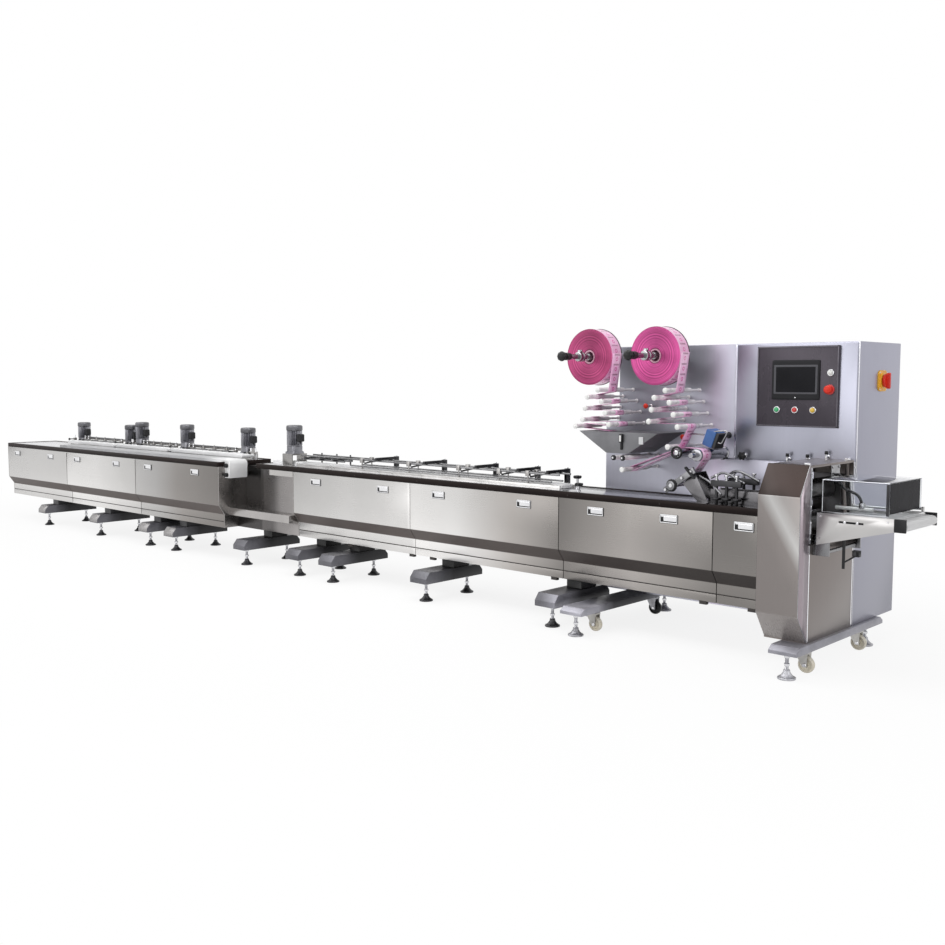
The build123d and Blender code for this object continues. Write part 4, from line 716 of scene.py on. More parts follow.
# Painted highlight: the bright strips below stand for light on the door seam and the cabinet's front corner.
seam = front_slab((0.012, 0.636, 0.0030), 0.003, 0.0012, [3.5255, 0.0545, 1.328])
corner_highlight_strip = front_slab((0.010, 1.48, 0.0026), 0.003, 0.001, [4.2165, 0.0665, 0.9065])
seam_highlight_steel = finish("seam_highlight_steel", (0.60, 0.60, 0.67), (0.48, 0.48, 0.55), 0.22, 1.0, (200, 200, 4), (3.0, 0.1), 0.02)
shell("door_seam_highlight", [seam], seam_highlight_steel, "cabinet_door")
shell("cabinet_edge_highlight", [corner_highlight_strip], edge_bright, "cabinet_door")
hubs = solids("plate_fittings")
flanges, caps = [], []
for low, high in hubs[:2]:
    x, _, z = (low + high) / 2
    flanges.append(turned([(0.0165, 0.008), (0.030, 0.008), (0.033, 0.011), (0.033, 0.036), (0.040, 0.040),
                           (0.040, 0.054), (0.0165, 0.054), (0.0165, 0.008)], "y", 36) + [x, 0, z])
for low, high in hubs[2:]:
    x, _, z = (low + high) / 2
    flanges.append(spun([(0.005, 0.016), (0.006, 0.018), (0.006, 0.044), (0.009, 0.046), (0.009, 0.054)], "y",
                        20) + [x, 0, z])
    flanges.append(spun([(0.006, -0.030), (0.006, 0.014), (0.008, 0.016), (0.008, 0.020)], "z", 16) + [x, 0.022, z])
    caps.append(spun([(0.0085, 0.013), (0.0092, 0.015), (0.0092, 0.028), (0.0080, 0.031)], "z", 20) + [x, 0.022, z])
shell("plate_hubs", flanges, bright_plate, "plate_fittings", True)
shell("stud_caps", caps, black_plastic, "plate_fittings")

# Control panel: a brown lacquered plate on the door with a touch screen in a black bezel, three push
# buttons, a lamp and a mushroom stop. All are round collars clamped through the plate.
panel_brown = finish("panel_brown", (0.078, 0.066, 0.084), (0.044, 0.037, 0.048), 0.24, 0.2, (30, 30, 2),
                     (2.0, 0.1), 0.004)
tuned(panel_brown, "Specular IOR Level", 0.3)
softened("control_panel", 0.003, panel_brown)
low, high = np.array(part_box("control_panel"))
mid = (low + high) / 2
wide, _, tall = high - low
rails = [front_slab((wide - 0.004, 0.006, 0.0028), 0.0015, 0.0008, [mid[0], low[1], z])
         for z in (low[2] + 0.005, high[2] - 0.005)]
rails += [front_slab((0.006, tall - 0.004, 0.0028), 0.0015, 0.0008, [x, low[1], mid[2]])
          for x in (low[0] + 0.005, high[0] - 0.005)]
shell("control_frame", rails, finish("frame_alloy", (0.15, 0.14, 0.16), (0.09, 0.085, 0.098), 0.25, 1.0,
                                     200, (6.0, 0.1), 0.03), "control_panel")
low, high = np.array(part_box("touch_screen"))
mid = (low + high) / 2
bezel_black = finish("bezel_black", (0.012, 0.012, 0.015), (0.007, 0.007, 0.009), 0.26, 0.0, 600, (8.0, 0.1), 0.03)
bezel = front_slab((high[0] - low[0], high[2] - low[2], 0.0062), 0.008, 0.003, [mid[0], high[1], mid[2]])
tuned(bezel_black, "Specular IOR Level", 0.2)
shell("screen_bezel", [bezel], bezel_black, "touch_screen", True)
glass = finish("screen_glass", (0.010, 0.010, 0.013), (0.0055, 0.0055, 0.0075), 0.16, 0.0, 3, (5.0, 0.06), 0.0)
tuned(glass, "Specular IOR Level", 0.12)
rim_size = np.array([high[0] - low[0] - 0.024, high[2] - low[2] - 0.056])
rim = front_slab((*rim_size, 0.0010), 0.004, 0.0004, [mid[0], high[1] - 0.0060, mid[2] + 0.002])
shell("screen_rim", [rim], finish("rim_grey", (0.060, 0.060, 0.072), (0.042, 0.042, 0.052), 0.34, 0.0,
                                  400, (8.0, 0.1), 0.02), "touch_screen")
pane = front_slab((rim_size[0] - 0.024, rim_size[1] - 0.020, 0.0006), 0.003, 0.0003,
                  [mid[0], high[1] - 0.0070, mid[2] + 0.002])
shell("screen_pane", [pane], glass, "touch_screen")
lamp_dot = turned([(0, -0.0009), (0.003, -0.0007), (0.0036, 0.0), (0, 0.0)], "y", 14)
lamp_dot = lamp_dot + [mid[0], high[1] - 0.0062, low[2] + 0.011]
buttons = solids("push_buttons")
spots = laid(buttons[:, :, 0].mean(1), buttons[:, 1, 1], buttons[:, :, 2].mean(1))
ring = turned([(0.0125, -0.0045), (0.0138, -0.0064), (0.0168, -0.0064), (0.0188, -0.0045), (0.0195, 0.0),
               (0, 0.0)], "y", 36)
shell("button_rings", [at(ring, spots), lamp_dot], bright_plate, "push_buttons", True)
press = turned([(0, -0.0138), (0.009, -0.0134), (0.0118, -0.0120), (0.0128, -0.0095), (0.0128, -0.002),
                (0, -0.002)], "y", 30)
tints = {"green": ((0.05, 0.46, 0.18), (0.03, 0.34, 0.11)), "red": ((0.75, 0.035, 0.03), (0.58, 0.02, 0.018)),
         "yellow": ((0.82, 0.55, 0.06), (0.68, 0.42, 0.03)), "lamp": ((0.86, 0.86, 0.84), (0.74, 0.74, 0.72))}
plastics = {tint: finish("button_" + tint, *pair, 0.26, 0.0, 400, (14.0, 0.12), 0.02, 0.3)
            for tint, pair in tints.items()}
for tint, spot in zip(("green", "red", "yellow", "lamp"), spots):
    shell("button_" + tint, [press + spot], plastics[tint], "push_buttons")
low, high = np.array(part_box("emergency_stop"))
x, _, z = (low + high) / 2
stem_end = high[1] - 0.004 - low[1]
mushroom = turned([(0, 0), (0.0105, 0.0005), (0.0172, 0.0025), (0.0211, 0.0064), (0.0220, 0.011), (0.0214, 0.0150),
                   (0.0190, 0.0175), (0.012, 0.018), (0.012, stem_end), (0, stem_end)], "y", 40) + [x, low[1], z]
safety_red = finish("safety_red", (0.80, 0.050, 0.026), (0.66, 0.028, 0.016), 0.30, 0.0, 400, (12.0, 0.12), 0.02)
tuned(safety_red, "Specular IOR Level", 0.25)
shell("stop_mushroom", [mushroom], safety_red, "emergency_stop", True)
safety_yellow = finish("safety_yellow", (0.92, 0.50, 0.030), (0.80, 0.40, 0.020), 0.3, 0.0, 400, (9.0, 0.12), 0.02)
collar = turned([(0.0135, 0.034), (0.022, 0.034), (0.0255, 0.036), (0.0265, 0.040), (0.0135, 0.040),
                 (0.0135, 0.034)], "y", 40) + [x, 0, z]
shell("stop_collar", [collar], plastics["red"], "emergency_stop")

# Main isolator: a yellow moulded plate screwed to the end of the cabinet with a red rotary handle that
# turns a quarter; the grip is a raised bar on a round boss.
low, high = np.array(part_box("isolator_base"))
mid = (low + high) / 2
plate = slab((0.112, 0.112, 0.0085), 0.030, 0.003, "x", 8) + [low[0], mid[1], mid[2]]
raised = turned([(0.0165, 0.0035), (0.0435, 0.0035), (0.0435, 0.0105), (0.0415, 0.0120), (0.0165, 0.0120),
                 (0.0165, 0.0035)], "x", 48) + [low[0], mid[1], mid[2]]
shell("isolator_plate", [plate, raised], safety_yellow, "isolator_base", True)
screws = at(spun([(0.0045, 0.008), (0.0045, 0.0095), (0.0035, 0.0102)], "x", 14),
            [[low[0], mid[1] + sy * 0.043, mid[2] + sz * 0.043] for sy in (-1, 1) for sz in (-1, 1)])
shell("isolator_screws", [screws], bright_plate, "isolator_base")
low, high = np.array(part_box("isolator_handle"))
mid, back = (low + high) / 2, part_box("isolator_base")[1][0]
boss = spun([(0.0105, -0.006), (0.0105, 0.0055), (0.034, 0.0055), (0.036, 0.0075), (0.036, 0.0145),
             (0.033, 0.0175)], "x", 44) + [back, mid[1], mid[2]]
grip = slab((0.018, 0.084, 0.0185), 0.0085, 0.003, "x", 6) + [high[0] - 0.0185, mid[1], mid[2]]
shell("isolator_grip", [boss, grip], safety_red, "isolator_handle", True)


# Film reels: wound printed film on a paper core, slid on a mandrel against a dark back flange and held by a
# plated clamp, with a black collar and a round grip at the tip. Roll and mandrel turn together.
print_group, group_in, group_out = shader_group("film_print", [("Vector", "NodeSocketVector", (0, 0, 0))],
                                                ["Dashes", "Spots"])


def inked(operation, *values):
    """Result of one Math node of the print group."""
    return sum_up(print_group, operation, *values)


print_pitch, web_width = 0.058, 0.084
split = wired(print_group, "SeparateXYZ", {0: group_in.outputs["Vector"]}).outputs
row = inked("FRACT", inked("DIVIDE", split["Y"], print_pitch))
off_middle = inked("ABSOLUTE", inked("SUBTRACT", split["X"], 0.5))
dash = inked("LESS_THAN", inked("ABSOLUTE", inked("SUBTRACT", row, 0.15)), 0.085)
dash = inked("MULTIPLY", dash, inked("LESS_THAN", off_middle, 0.32))
breaks = inked("GREATER_THAN", inked("SINE", inked("MULTIPLY", split["X"], 47.0)), -0.25)
print_group.links.new(inked("MULTIPLY", dash, breaks), group_out.inputs["Dashes"])
wide = inked("POWER", inked("MULTIPLY", off_middle, web_width), 2.0)
tall = inked("POWER", inked("ABSOLUTE", inked("MULTIPLY", inked("SUBTRACT", row, 0.60), print_pitch)), 2.0)
round_off = inked("SQRT", inked("ADD", wide, tall))
spot = inked("MULTIPLY", inked("LESS_THAN", round_off, 0.0115), inked("GREATER_THAN", round_off, 0.0060))
print_group.links.new(spot, group_out.inputs["Spots"])


def printed_film(name, light, dark):
    """Glossy film whose colour is the base finish with rings of stronger pink and dark dashes from the print group."""
    made = finish(name, light, dark, 0.20, 0.0, 40, (10.0, 0.12), 0.02, 0.4)
    place = wired(made.node_tree, "TexCoord").outputs["UV"]
    marks = wired(made.node_tree, "Group", {"Vector": place}, node_tree=print_group).outputs
    for mark, ink in (("Spots", (0.72, 0.12, 0.40, 1)), ("Dashes", (0.16, 0.035, 0.075, 1))):
        tuned(made, "Base Color", mixed(made, marks[mark], source(made), ink))
    return made


def wound_film(name, light, dark, middle):
    """Edge of wound film: rings of 1-D noise over the distance from the middle (x, z), and a painted sheen,
    a painted highlight and shade of 1 + 0.13 cos 2a - 0.16 sin a over the bearing a."""
    made = finish(name, light, dark, 0.28, 0.75, 30, (4.0, 0.1), 0.0)
    tree = made.node_tree
    place = wired(tree, "TexCoord").outputs["Object"]
    shift = {"Vector": place, "Location": (-middle[0], 0, -middle[1]), "Scale": (1, 0, 1)}
    centred = wired(tree, "Mapping", shift).outputs[0]
    radius = wired(tree, "VectorMath", {0: centred}, operation="LENGTH").outputs["Value"]
    layers = wired(tree, "TexNoise", {"W": radius, "Scale": 130.0, "Detail": 6.0},
                   noise_dimensions="1D").outputs["Fac"]
    tree.links.new(layers, tree.nodes["Bump"].inputs["Height"])
    tree.nodes["Bump"].inputs["Strength"].default_value = 0.25
    span = {"Value": layers, "From Min": 0.35, "From Max": 0.65, "To Min": 0.66, "To Max": 1.25}
    bands = wired(tree, "MapRange", span).outputs[0]
    parts = wired(tree, "SeparateXYZ", {0: centred}).outputs
    bearing = sum_up(tree, "ARCTAN2", parts["Z"], parts["X"])
    # Painted highlight and shade: lighter and darker sectors round the reel face.
    twice = sum_up(tree, "MULTIPLY", sum_up(tree, "COSINE", sum_up(tree, "MULTIPLY", bearing, 2.0)), 0.13)
    once = sum_up(tree, "MULTIPLY", sum_up(tree, "SINE", bearing), -0.16)
    sheen = sum_up(tree, "ADD", sum_up(tree, "ADD", twice, once), 1.0)
    tone = {0: source(made), "Scale": sum_up(tree, "MULTIPLY", bands, sheen)}
    tuned(made, "Base Color", wired(tree, "VectorMath", tone, operation="SCALE").outputs[0])
    way = wired(tree, "Tangent", direction_type="UV_MAP", uv_map="UVMap").outputs[0]
    return tuned(tuned(made, "Anisotropic", 0.92), "Tangent", way)


web_pink = printed_film("web_pink", (0.93, 0.60, 0.82), (0.86, 0.44, 0.70))
wrap_pink = printed_film("wrap_pink", (0.92, 0.58, 0.80), (0.82, 0.38, 0.64))
flange_dark = finish("flange_dark", (0.085, 0.07, 0.075), (0.04, 0.034, 0.036), 0.25, 0.6, 120, (8.0, 0.15), 0.04)
clamp_steel = finish("clamp_steel", (0.46, 0.46, 0.47), (0.24, 0.24, 0.25), 0.16, 1.0, 120, (20.0, 0.15), 0.04)
core_card = finish("core_card", (0.72, 0.44, 0.54), (0.52, 0.24, 0.34), 0.5, 0.0, 300, (20.0, 0.2), 0.08)
left_x, right_x, reel_z = 2.7115, 3.1685, 1.584
front, back, roll_r = -0.2225, -0.1275, 0.164
# Painted shade: the left reel's film is given a darker colour than the right's.
reel_rows = (("left", left_x, (0.42, 0.064, 0.180), (0.28, 0.041, 0.115)),
             ("right", right_x, (0.54, 0.082, 0.275), (0.37, 0.052, 0.175)))
face = np.concatenate([[(0.0405, front + 0.003)], laid(np.linspace(0.042, 0.1615, 14), front),
                       [(0.1632, front + 0.0006), (roll_r, front + 0.002)]])
tail = np.concatenate([[(roll_r, back - 0.002), (0.1632, back - 0.0006)],
                       laid(np.linspace(0.1615, 0.042, 6), back), [(0.0405, back - 0.003)]])
roll = [turned(face, "y", 96), turned(tail, "y", 96)]
wrap = turned([(roll_r, front + 0.002), (roll_r, back - 0.002)], "y", 96)
unrolled = laid([[0.0], [1.0]], np.linspace(0, 2 * np.pi * roll_r, 97))
core = turned([(0.031, front + 0.004), (0.0318, front + 0.0005), (0.0396, front + 0.0005), (0.0404, front + 0.004),
               (0.0404, back), (0.031, back), (0.031, front + 0.004)], "y", 48)
disc = turned([(0.017, back + 0.0002), (0.165, back + 0.0002), (0.167, back + 0.0012), (0.167, back + 0.003),
               (0.165, back + 0.004), (0.017, back + 0.004), (0.017, back + 0.0002)], "y", 96)
shaft = spun([(0.013, -0.462), (0.015, -0.460), (0.015, -0.236), (0.019, -0.235), (0.020, -0.226), (0.020, -0.200),
              (0.015, -0.198), (0.015, 0.049)], "y", 32)
grip = turned([(0, -0.500), (0.010, -0.4995), (0.020, -0.4965), (0.027, -0.490), (0.029, -0.482), (0.028, -0.473),
               (0.023, -0.465), (0.016, -0.461), (0.016, -0.452), (0.022, -0.450), (0.022, -0.412),
               (0.0195, -0.409), (0, -0.409)], "y", 48, 8, 0.06)
clamp = turned([(0.0145, -0.3345), (0.024, -0.3345), (0.0275, -0.331), (0.0275, -0.318), (0.0255, -0.315),
                (0.0255, -0.304), (0.028, -0.301), (0.028, -0.288), (0.024, -0.2845), (0.0145, -0.2845),
                (0.0145, -0.3345)], "y", 24)
ear = slab((0.020, 0.026, 0.016), 0.004, 0.002) + [0, -0.3095, 1.608 - reel_z]
pin = spun([(0.005, -0.014), (0.006, -0.012), (0.006, 0.012), (0.005, 0.014)], "x", 14) + [0, -0.3095, 1.617 - reel_z]
for side, reel_x, light, dark in reel_rows:
    centre = np.array([reel_x, 0.0, reel_z])
    wound = wound_film("wound_edge_" + side, light, dark, (reel_x, reel_z))
    reel, mandrel = "film_reel_" + side, "reel_mandrel_" + side
    shell("film_roll_" + side, [part + centre for part in roll], wound, reel, True)
    shell("film_wrap_" + side, [wrap + centre], wrap_pink, reel, uv=[unrolled])
    shell("reel_core_" + side, [core + centre], core_card, reel)
    shell("reel_flange_" + side, [disc + centre], flange_dark, mandrel, True)
    shell("reel_shaft_" + side, [shaft + centre], clamp_steel, mandrel)
    shell("reel_grip_" + side, [grip + centre], black_plastic, mandrel)
    shell("reel_clamp_" + side, [part + centre for part in (clamp, ear, pin)], clamp_steel, mandrel)

# Idler rollers: satin aluminium tubes on fixed axles that stand out of the film plate, in two leaning stacks,
# with white end caps. The lowest two under the bracket are plated.
roller_alloy = finish("roller_alloy", (0.90, 0.88, 0.89), (0.76, 0.73, 0.75), 0.24, 0.30, (400, 12, 400),
                      (9.0, 0.15), 0.03)
tubes = solids("idler_rollers")
places = laid(tubes[:, :, 0].mean(1), 0.0, tubes[:, :, 2].mean(1))
tube = spun([(0.0125, -0.300), (0.013, -0.2994), (0.013, -0.2665), (0.0124, -0.2655), (0.0124, -0.2645),
             (0.013, -0.2635), (0.013, -0.0865), (0.0124, -0.0855), (0.0124, -0.0845), (0.013, -0.0835),
             (0.013, -0.0508), (0.0125, -0.050), (0.007, -0.050), (0.007, 0.046), (0.011, 0.048), (0.011, 0.054)],
            "y", 24)
shell("idler_tubes", [at(tube, places)], roller_alloy, "idler_rollers", True)
white_cap = finish("white_cap", (0.90, 0.90, 0.89), (0.80, 0.80, 0.79), 0.35, 0.0, 500, (14.0, 0.1), 0.03, 0.1)
dome = spun([(0.004, -0.312), (0.005, -0.3112), (0.010, -0.3112), (0.0138, -0.3098), (0.0156, -0.3070),
             (0.016, -0.304), (0.016, -0.3012), (0.0152, -0.300)], "y", 24)
low_pair = (np.abs(places[:, 2] - 1.006) < 0.004) & (places[:, 0] > 2.93) & (places[:, 0] < 3.04)
shell("idler_white_caps", [at(dome, places[~low_pair])], white_cap, "idler_caps", True)
pinch_knob = spun([(0.006, -0.312), (0.0075, -0.3105), (0.011, -0.310), (0.0155, -0.3085), (0.016, -0.306),
                   (0.016, -0.300)], "y", 40, 10, 0.10)
shell("idler_pinch_knobs", [at(pinch_knob, places[low_pair])], black_plastic, "idler_caps")
pinch_nut = spun([(0.0055, -0.316), (0.0065, -0.315), (0.0065, -0.3115)], "y", 6)
shell("idler_pinch_nuts", [at(pinch_nut, places[low_pair])], bright_plate, "idler_caps", sharp=30.0)

# Splice bracket: a deep grey trough with sloped ends that stands out of the film plate, where a new web is
# joined. A toggle lever and a small plain plate are fixed to its front.
bracket_grey = finish("bracket_grey", (0.26, 0.26, 0.275), (0.165, 0.165, 0.175), 0.36, 0.6, 200, (6.0, 0.18), 0.08)
# Painted shade: the bracket darkens towards its right end.
graded(bracket_grey, (1.0, 0, 0, -2.64), [(0.0, 1.05), (0.32, 0.9), (0.40, 0.8), (0.56, 0.55)])
softened("web_bracket", 0.0025, bracket_grey)
low, high = solids("clamp_levers")[0]
x = (low[0] + high[0]) / 2
lever = front_slab((0.020, 0.050, 0.020), 0.004, 0.002, [x, high[1], low[2] + 0.066])
stem = front_slab((0.011, 0.046, 0.012), 0.003, 0.0015, [x, high[1], low[2] + 0.023])
shell("toggle_base", [lever, stem], black_plastic, "clamp_levers")
shell("toggle_face", [front_slab((0.012, 0.036, 0.0022), 0.003, 0.001, [x, high[1] - 0.0198, low[2] + 0.066])],
      white_cap, "clamp_levers")
shell("bracket_plate", [front_slab((0.030, 0.042, 0.006), 0.002, 0.001, [3.092, -0.2295, 1.105])],
      finish("bare_plate", (0.60, 0.60, 0.61), (0.46, 0.46, 0.47), 0.3, 0.8, 200, (9.0, 0.1), 0.03),
      "web_bracket")
red_spots = np.array([[2.9645, 0.0, 1.296], [3.2205, 0.0, 1.122]])
stem = spun([(0.007, 0.010), (0.007, 0.050), (0.011, 0.051), (0.011, 0.0545)], "y", 18)
ball = turned([(0, -0.013), (0.007, -0.0125), (0.0125, -0.0095), (0.0155, -0.004), (0.0155, 0.001),
               (0.0125, 0.007), (0.008, 0.011), (0, 0.011)], "y", 28)
shell("red_pull_stems", [at(stem, red_spots)], bright_plate, "clamp_levers")
shell("red_pull_knobs", [at(ball, red_spots)], safety_red, "clamp_levers")


# Threaded web: thin printed film that leaves each reel, weaves down its stack of idlers and, on the right,
# runs over the drive rollers to the forming shoulder.
def threaded(start, rollers, end):
    """Path of a web that runs straight between rollers and turns on them, as (x, z) points. A straight run turns
    from the centre line by asin((side2 r2 - side1 r1) / distance) and touches each roller a radius off its centre."""
    stops = np.array([(*start, 0.0, 1.0)] + rollers + [(*end, 0.0, 1.0)])
    step = np.diff(stops[:, :2], axis=0)
    pull = stops[:, 2] * stops[:, 3]
    run = np.arctan2(step[:, 1], step[:, 0]) - np.arcsin(np.diff(pull) / np.hypot(step[:, 0], step[:, 1]))
    turn = (stops[1:-1, 3] * np.diff(run)) % (2 * np.pi)
    angle = run[:-1, None] + stops[1:-1, 3:4] * turn[:, None] * np.linspace(0, 1, 16)[None]
    arcs = stops[1:-1, None, :2] + pull[1:-1, None, None] * np.stack([np.sin(angle), -np.cos(angle)], -1)
    return np.concatenate([[start], arcs.reshape(-1, 2), [end]])


def idler_stack(reel_x, foot):
    """Idlers under one reel as (x, z, path radius, side) from the top down: two columns that lean together."""
    spots = []
    for k in (3, 2, 1, 0):
        spots.append((reel_x + 0.206 - 0.027 * k, 1.194 + 0.066 * k, idler_path, -1.0))
        if k:
            spots.append((reel_x + foot + 0.017 * k, 1.194 + 0.066 * (k - 0.62), idler_path, 1.0))
    return spots


idler_path, leave_z = 0.0141, 1.604
drive_at, drum_at = np.array([3.3665, 0, 1.054]), np.array([3.4515, 0, 1.040])
spare = threaded((2.8825, leave_z), idler_stack(left_x, 0.001) + [(2.6785, 1.179, idler_path, 1.0)],
                 (2.8615, 1.152))
last_turns = [(3.3145, 1.082, idler_path, -1.0), (3.0135, 0.940, idler_path, 1.0), (*drive_at[::2], 0.0231, -1.0),
              (*drum_at[::2], 0.0351, -1.0)]
running = threaded((3.3395, leave_z), idler_stack(right_x, 0.003) + last_turns, (3.4145, 0.9245))
sheets, maps = [], []
for path in (spare, running):
    gone = np.concatenate([[0], np.cumsum(np.hypot(*np.diff(path, axis=0).T))])
    sheets.append(laid(path[:, :1], np.linspace(-0.217, -0.133, 5), path[:, 1:]))
    maps.append(laid(np.linspace(0, 1, 5), gone[:, None]))
web = shell("threaded_web", sheets, web_pink, "film_web", True, sharp=80.0, uv=maps)
film = web.modifiers.new("film", "SOLIDIFY")
film.thickness, film.offset = 0.0012, 0.0

# Film drive and date coder: polished drive rollers on the plate, one with a hand wheel, and a blue coder head
# tilted over the drum on a stub shaft, with a bent plated hook for its lead.
drive_chrome = finish("drive_chrome", (0.50, 0.50, 0.53), (0.30, 0.30, 0.32), 0.14, 1.0, (200, 10, 200),
                      (6.0, 0.12), 0.02)
drum = spun([(0.013, -0.290), (0.014, -0.289), (0.014, -0.232), (0.030, -0.232), (0.0335, -0.230), (0.034, -0.228),
             (0.034, 0.046), (0.040, 0.048), (0.040, 0.054)], "y", 48) + drum_at
drive = spun([(0.021, -0.284), (0.022, -0.283), (0.022, 0.046), (0.028, 0.048), (0.028, 0.054)], "y", 40) + drive_at
shell("drive_pair", [drum, drive], drive_chrome, "film_drive_rollers", True)
coder_blue = finish("coder_blue", (0.045, 0.15, 0.42), (0.025, 0.085, 0.27), 0.30, 0.05, 300, (9.0, 0.15), 0.05, 0.2)
coder_tilt = math.radians(20)


def tipped(grid, tilt, centre):
    """Turn a grid about Y by a tilt, then move it to its centre."""
    x, y, z = np.moveaxis(grid, -1, 0)
    return laid(x * math.cos(tilt) + z * math.sin(tilt), y, z * math.cos(tilt) - x * math.sin(tilt)) + centre


case = tipped(front_slab((0.062, 0.092, 0.096), 0.006, 0.004), coder_tilt, [3.4865, -0.066, 1.130])
stub = spun([(0.012, -0.068), (0.012, 0.048), (0.018, 0.050), (0.018, 0.054)], "y", 24) + [3.4865, 0, 1.140]
shell("coder_case", [case], coder_blue, "date_coder", True)
dark_side = tipped(front_slab((0.018, 0.088, 0.090), 0.003, 0.002, [0.040, 0, 0]), coder_tilt,
                   [3.4865, -0.069, 1.130])
shell("coder_mount", [stub, dark_side], dark_steel, "date_coder")
hook = [bent_rod([(3.500, -0.150, 1.166), (3.545, -0.150, 1.172), (3.590, -0.150, 1.170), (3.572, -0.150, 1.130),
                  (3.556, -0.150, 1.106), (3.538, -0.150, 1.108)], 0.0040, 10, 6),
        bent_rod([(3.455, -0.160, 1.150), (3.400, -0.160, 1.152), (3.350, -0.160, 1.150)], 0.0050, 10, 4)]
shell("coder_hooks", hook, clamp_steel, "date_coder")

# Swing arm and clamp: a machined dancer arm on a pivot through the plate, with a round plated hub and a black
# hand lever across its end.
machined = finish("machined_steel", (0.27, 0.27, 0.28), (0.13, 0.13, 0.137), 0.20, 1.0, (260, 260, 60),
                  (6.0, 0.15), 0.04)
softened("swing_arm", 0.003, machined)
pivot = [3.3185, 0, 0.868]
hub = spun([(0.010, -0.2785), (0.012, -0.2765), (0.0125, -0.2725), (0.0135, -0.2720)], "y", 36) + pivot
grip = turned([(0, -0.2725), (0.018, -0.2725), (0.024, -0.2715), (0.0265, -0.2690), (0.031, -0.2685),
               (0.0345, -0.2670), (0.036, -0.2650), (0.036, -0.2622), (0, -0.2620)], "y", 75, 15, 0.06) + pivot
tip_nut = spun([(0.008, -0.2735), (0.009, -0.272), (0.009, -0.262)], "y", 6)
shell("swing_arm_grip", [grip], black_plastic, "swing_arm")
shell("swing_arm_hub", [hub, at(tip_nut, [[3.282, 0, 0.843], [3.385, 0, 0.914], [3.440, 0, 0.951]])], bright_plate,
      "swing_arm", sharp=30.0)
bar = front_slab((0.086, 0.014, 0.014), 0.006, 0.002, steps=6)
shell("clamp_bar", [tipped(bar, math.radians(45), [3.4365, -0.262, 0.945])], black_plastic, "clamp_levers", True)

# Forming box and fin seal: a folded shoulder plate that wraps the film round the product, a pair of side
# walls, and two rows of pinch wheels under dark heads that weld the seam.
former_steel = finish("former_steel", (0.24, 0.235, 0.245), (0.11, 0.105, 0.11), 0.16, 1.0, 200, (6.0, 0.15), 0.04)
softened("forming_box", 0.0012, former_steel)
softened("fin_seal_wheels", 0.002, dark_steel)
heads = np.array([[x, y, 0.916] for x in (3.6015, 3.6615, 3.7215) for y in (-0.267, -0.083)])
adjust = turned([(0, -0.001), (0.010, -0.001), (0.010, 0.006), (0.0065, 0.008), (0.0065, 0.020), (0.013, 0.022),
                 (0.014, 0.026), (0.013, 0.031), (0, 0.032)], "z", 28, 7, 0.10)
shell("fin_seal_screws", [at(adjust, heads)], bright_plate, "fin_seal_wheels")
strut = [bent_rod([(3.560, y, 0.925), (3.640, y * 0.9 - 0.02, 0.955), (3.760, y, 0.905)], 0.007, 10, 6)
         for y in (-0.255, -0.095)]
strut += [bent_rod([(3.480, -0.240, 0.930), (3.560, -0.262, 0.900), (3.640, -0.285, 0.842)], 0.006, 10, 6)]
shell("fin_seal_struts", strut, machined, "fin_seal_wheels")

# End seal cover: a brown-grey brushed stainless cover over the sealing jaws, sloped at the top and drawn in at
# the foot, with a bright folded hem along its outer edge.
cover_steel = finish("cover_steel", (0.265, 0.243, 0.235), (0.235, 0.213, 0.205), 0.26, 1.0, (90, 90, 4),
                     (1.2, 0.08), 0.008)
# Painted highlight: a bright diagonal band across the front of the cover.
graded(cover_steel, (0.854 / 0.7, 0, 0.52 / 0.7, -5.0), [(0.10, 0.95), (0.43, 0.95), (0.53, 1.05),
                                                         (0.61, (2.00, 2.17, 2.22)), (0.69, (1.38, 1.43, 1.45)),
                                                         (0.80, 1.15)])
# Painted shade darkens the sloped top; the drawn-in foot is lightened and made less metallic.
graded(cover_steel, (0, 0, 1 / 1.1, 0), [(0.0, 1.25), (0.2810, 1.20), (0.2825, 1.0), (0.8095, 1.0),
                                         (0.8115, (0.118, 0.098, 0.094)), (1.0, (0.106, 0.088, 0.084))])
foot_matt = graded_mask(cover_steel, (0, 0, 1 / 1.1, 0), [(0.2810, 0.15), (0.2825, 1.0)])
tuned(cover_steel, "Metallic", foot_matt)
softened("end_seal_guard", 0.004, cover_steel)
cover_back, cover_front = -0.4590, -0.5545
side_y = np.array([[cover_back, y] for y in (cover_back, cover_front, cover_front, cover_back)])
side_sheet = laid(4.2219, side_y, [[1.0405], [0.8915], [0.3105], [0.1725]])
# Painted shade: the side face is covered with a thin sheet in a separate, shaded tone of the cover's steel.
side_shade_steel = finish("cover_side_shaded_steel", (0.40, 0.345, 0.375), (0.30, 0.257, 0.282), 0.30, 0.9, (400, 400, 4),
                    (1.5, 0.1), 0.02)
thin_sheet("cover_side", [side_sheet], side_shade_steel, "end_seal_guard")
hem = laid(4.2195, [-0.4600, -0.5540, -0.5540, -0.4600], [1.0400, 0.8935, 0.3105, 0.1720])
hem_bars = [bent_rod(hem[k:k + 2], 0.0019, 10, 2) for k in range(3)]
shell("cover_hem", hem_bars, clamp_steel, "end_seal_guard")

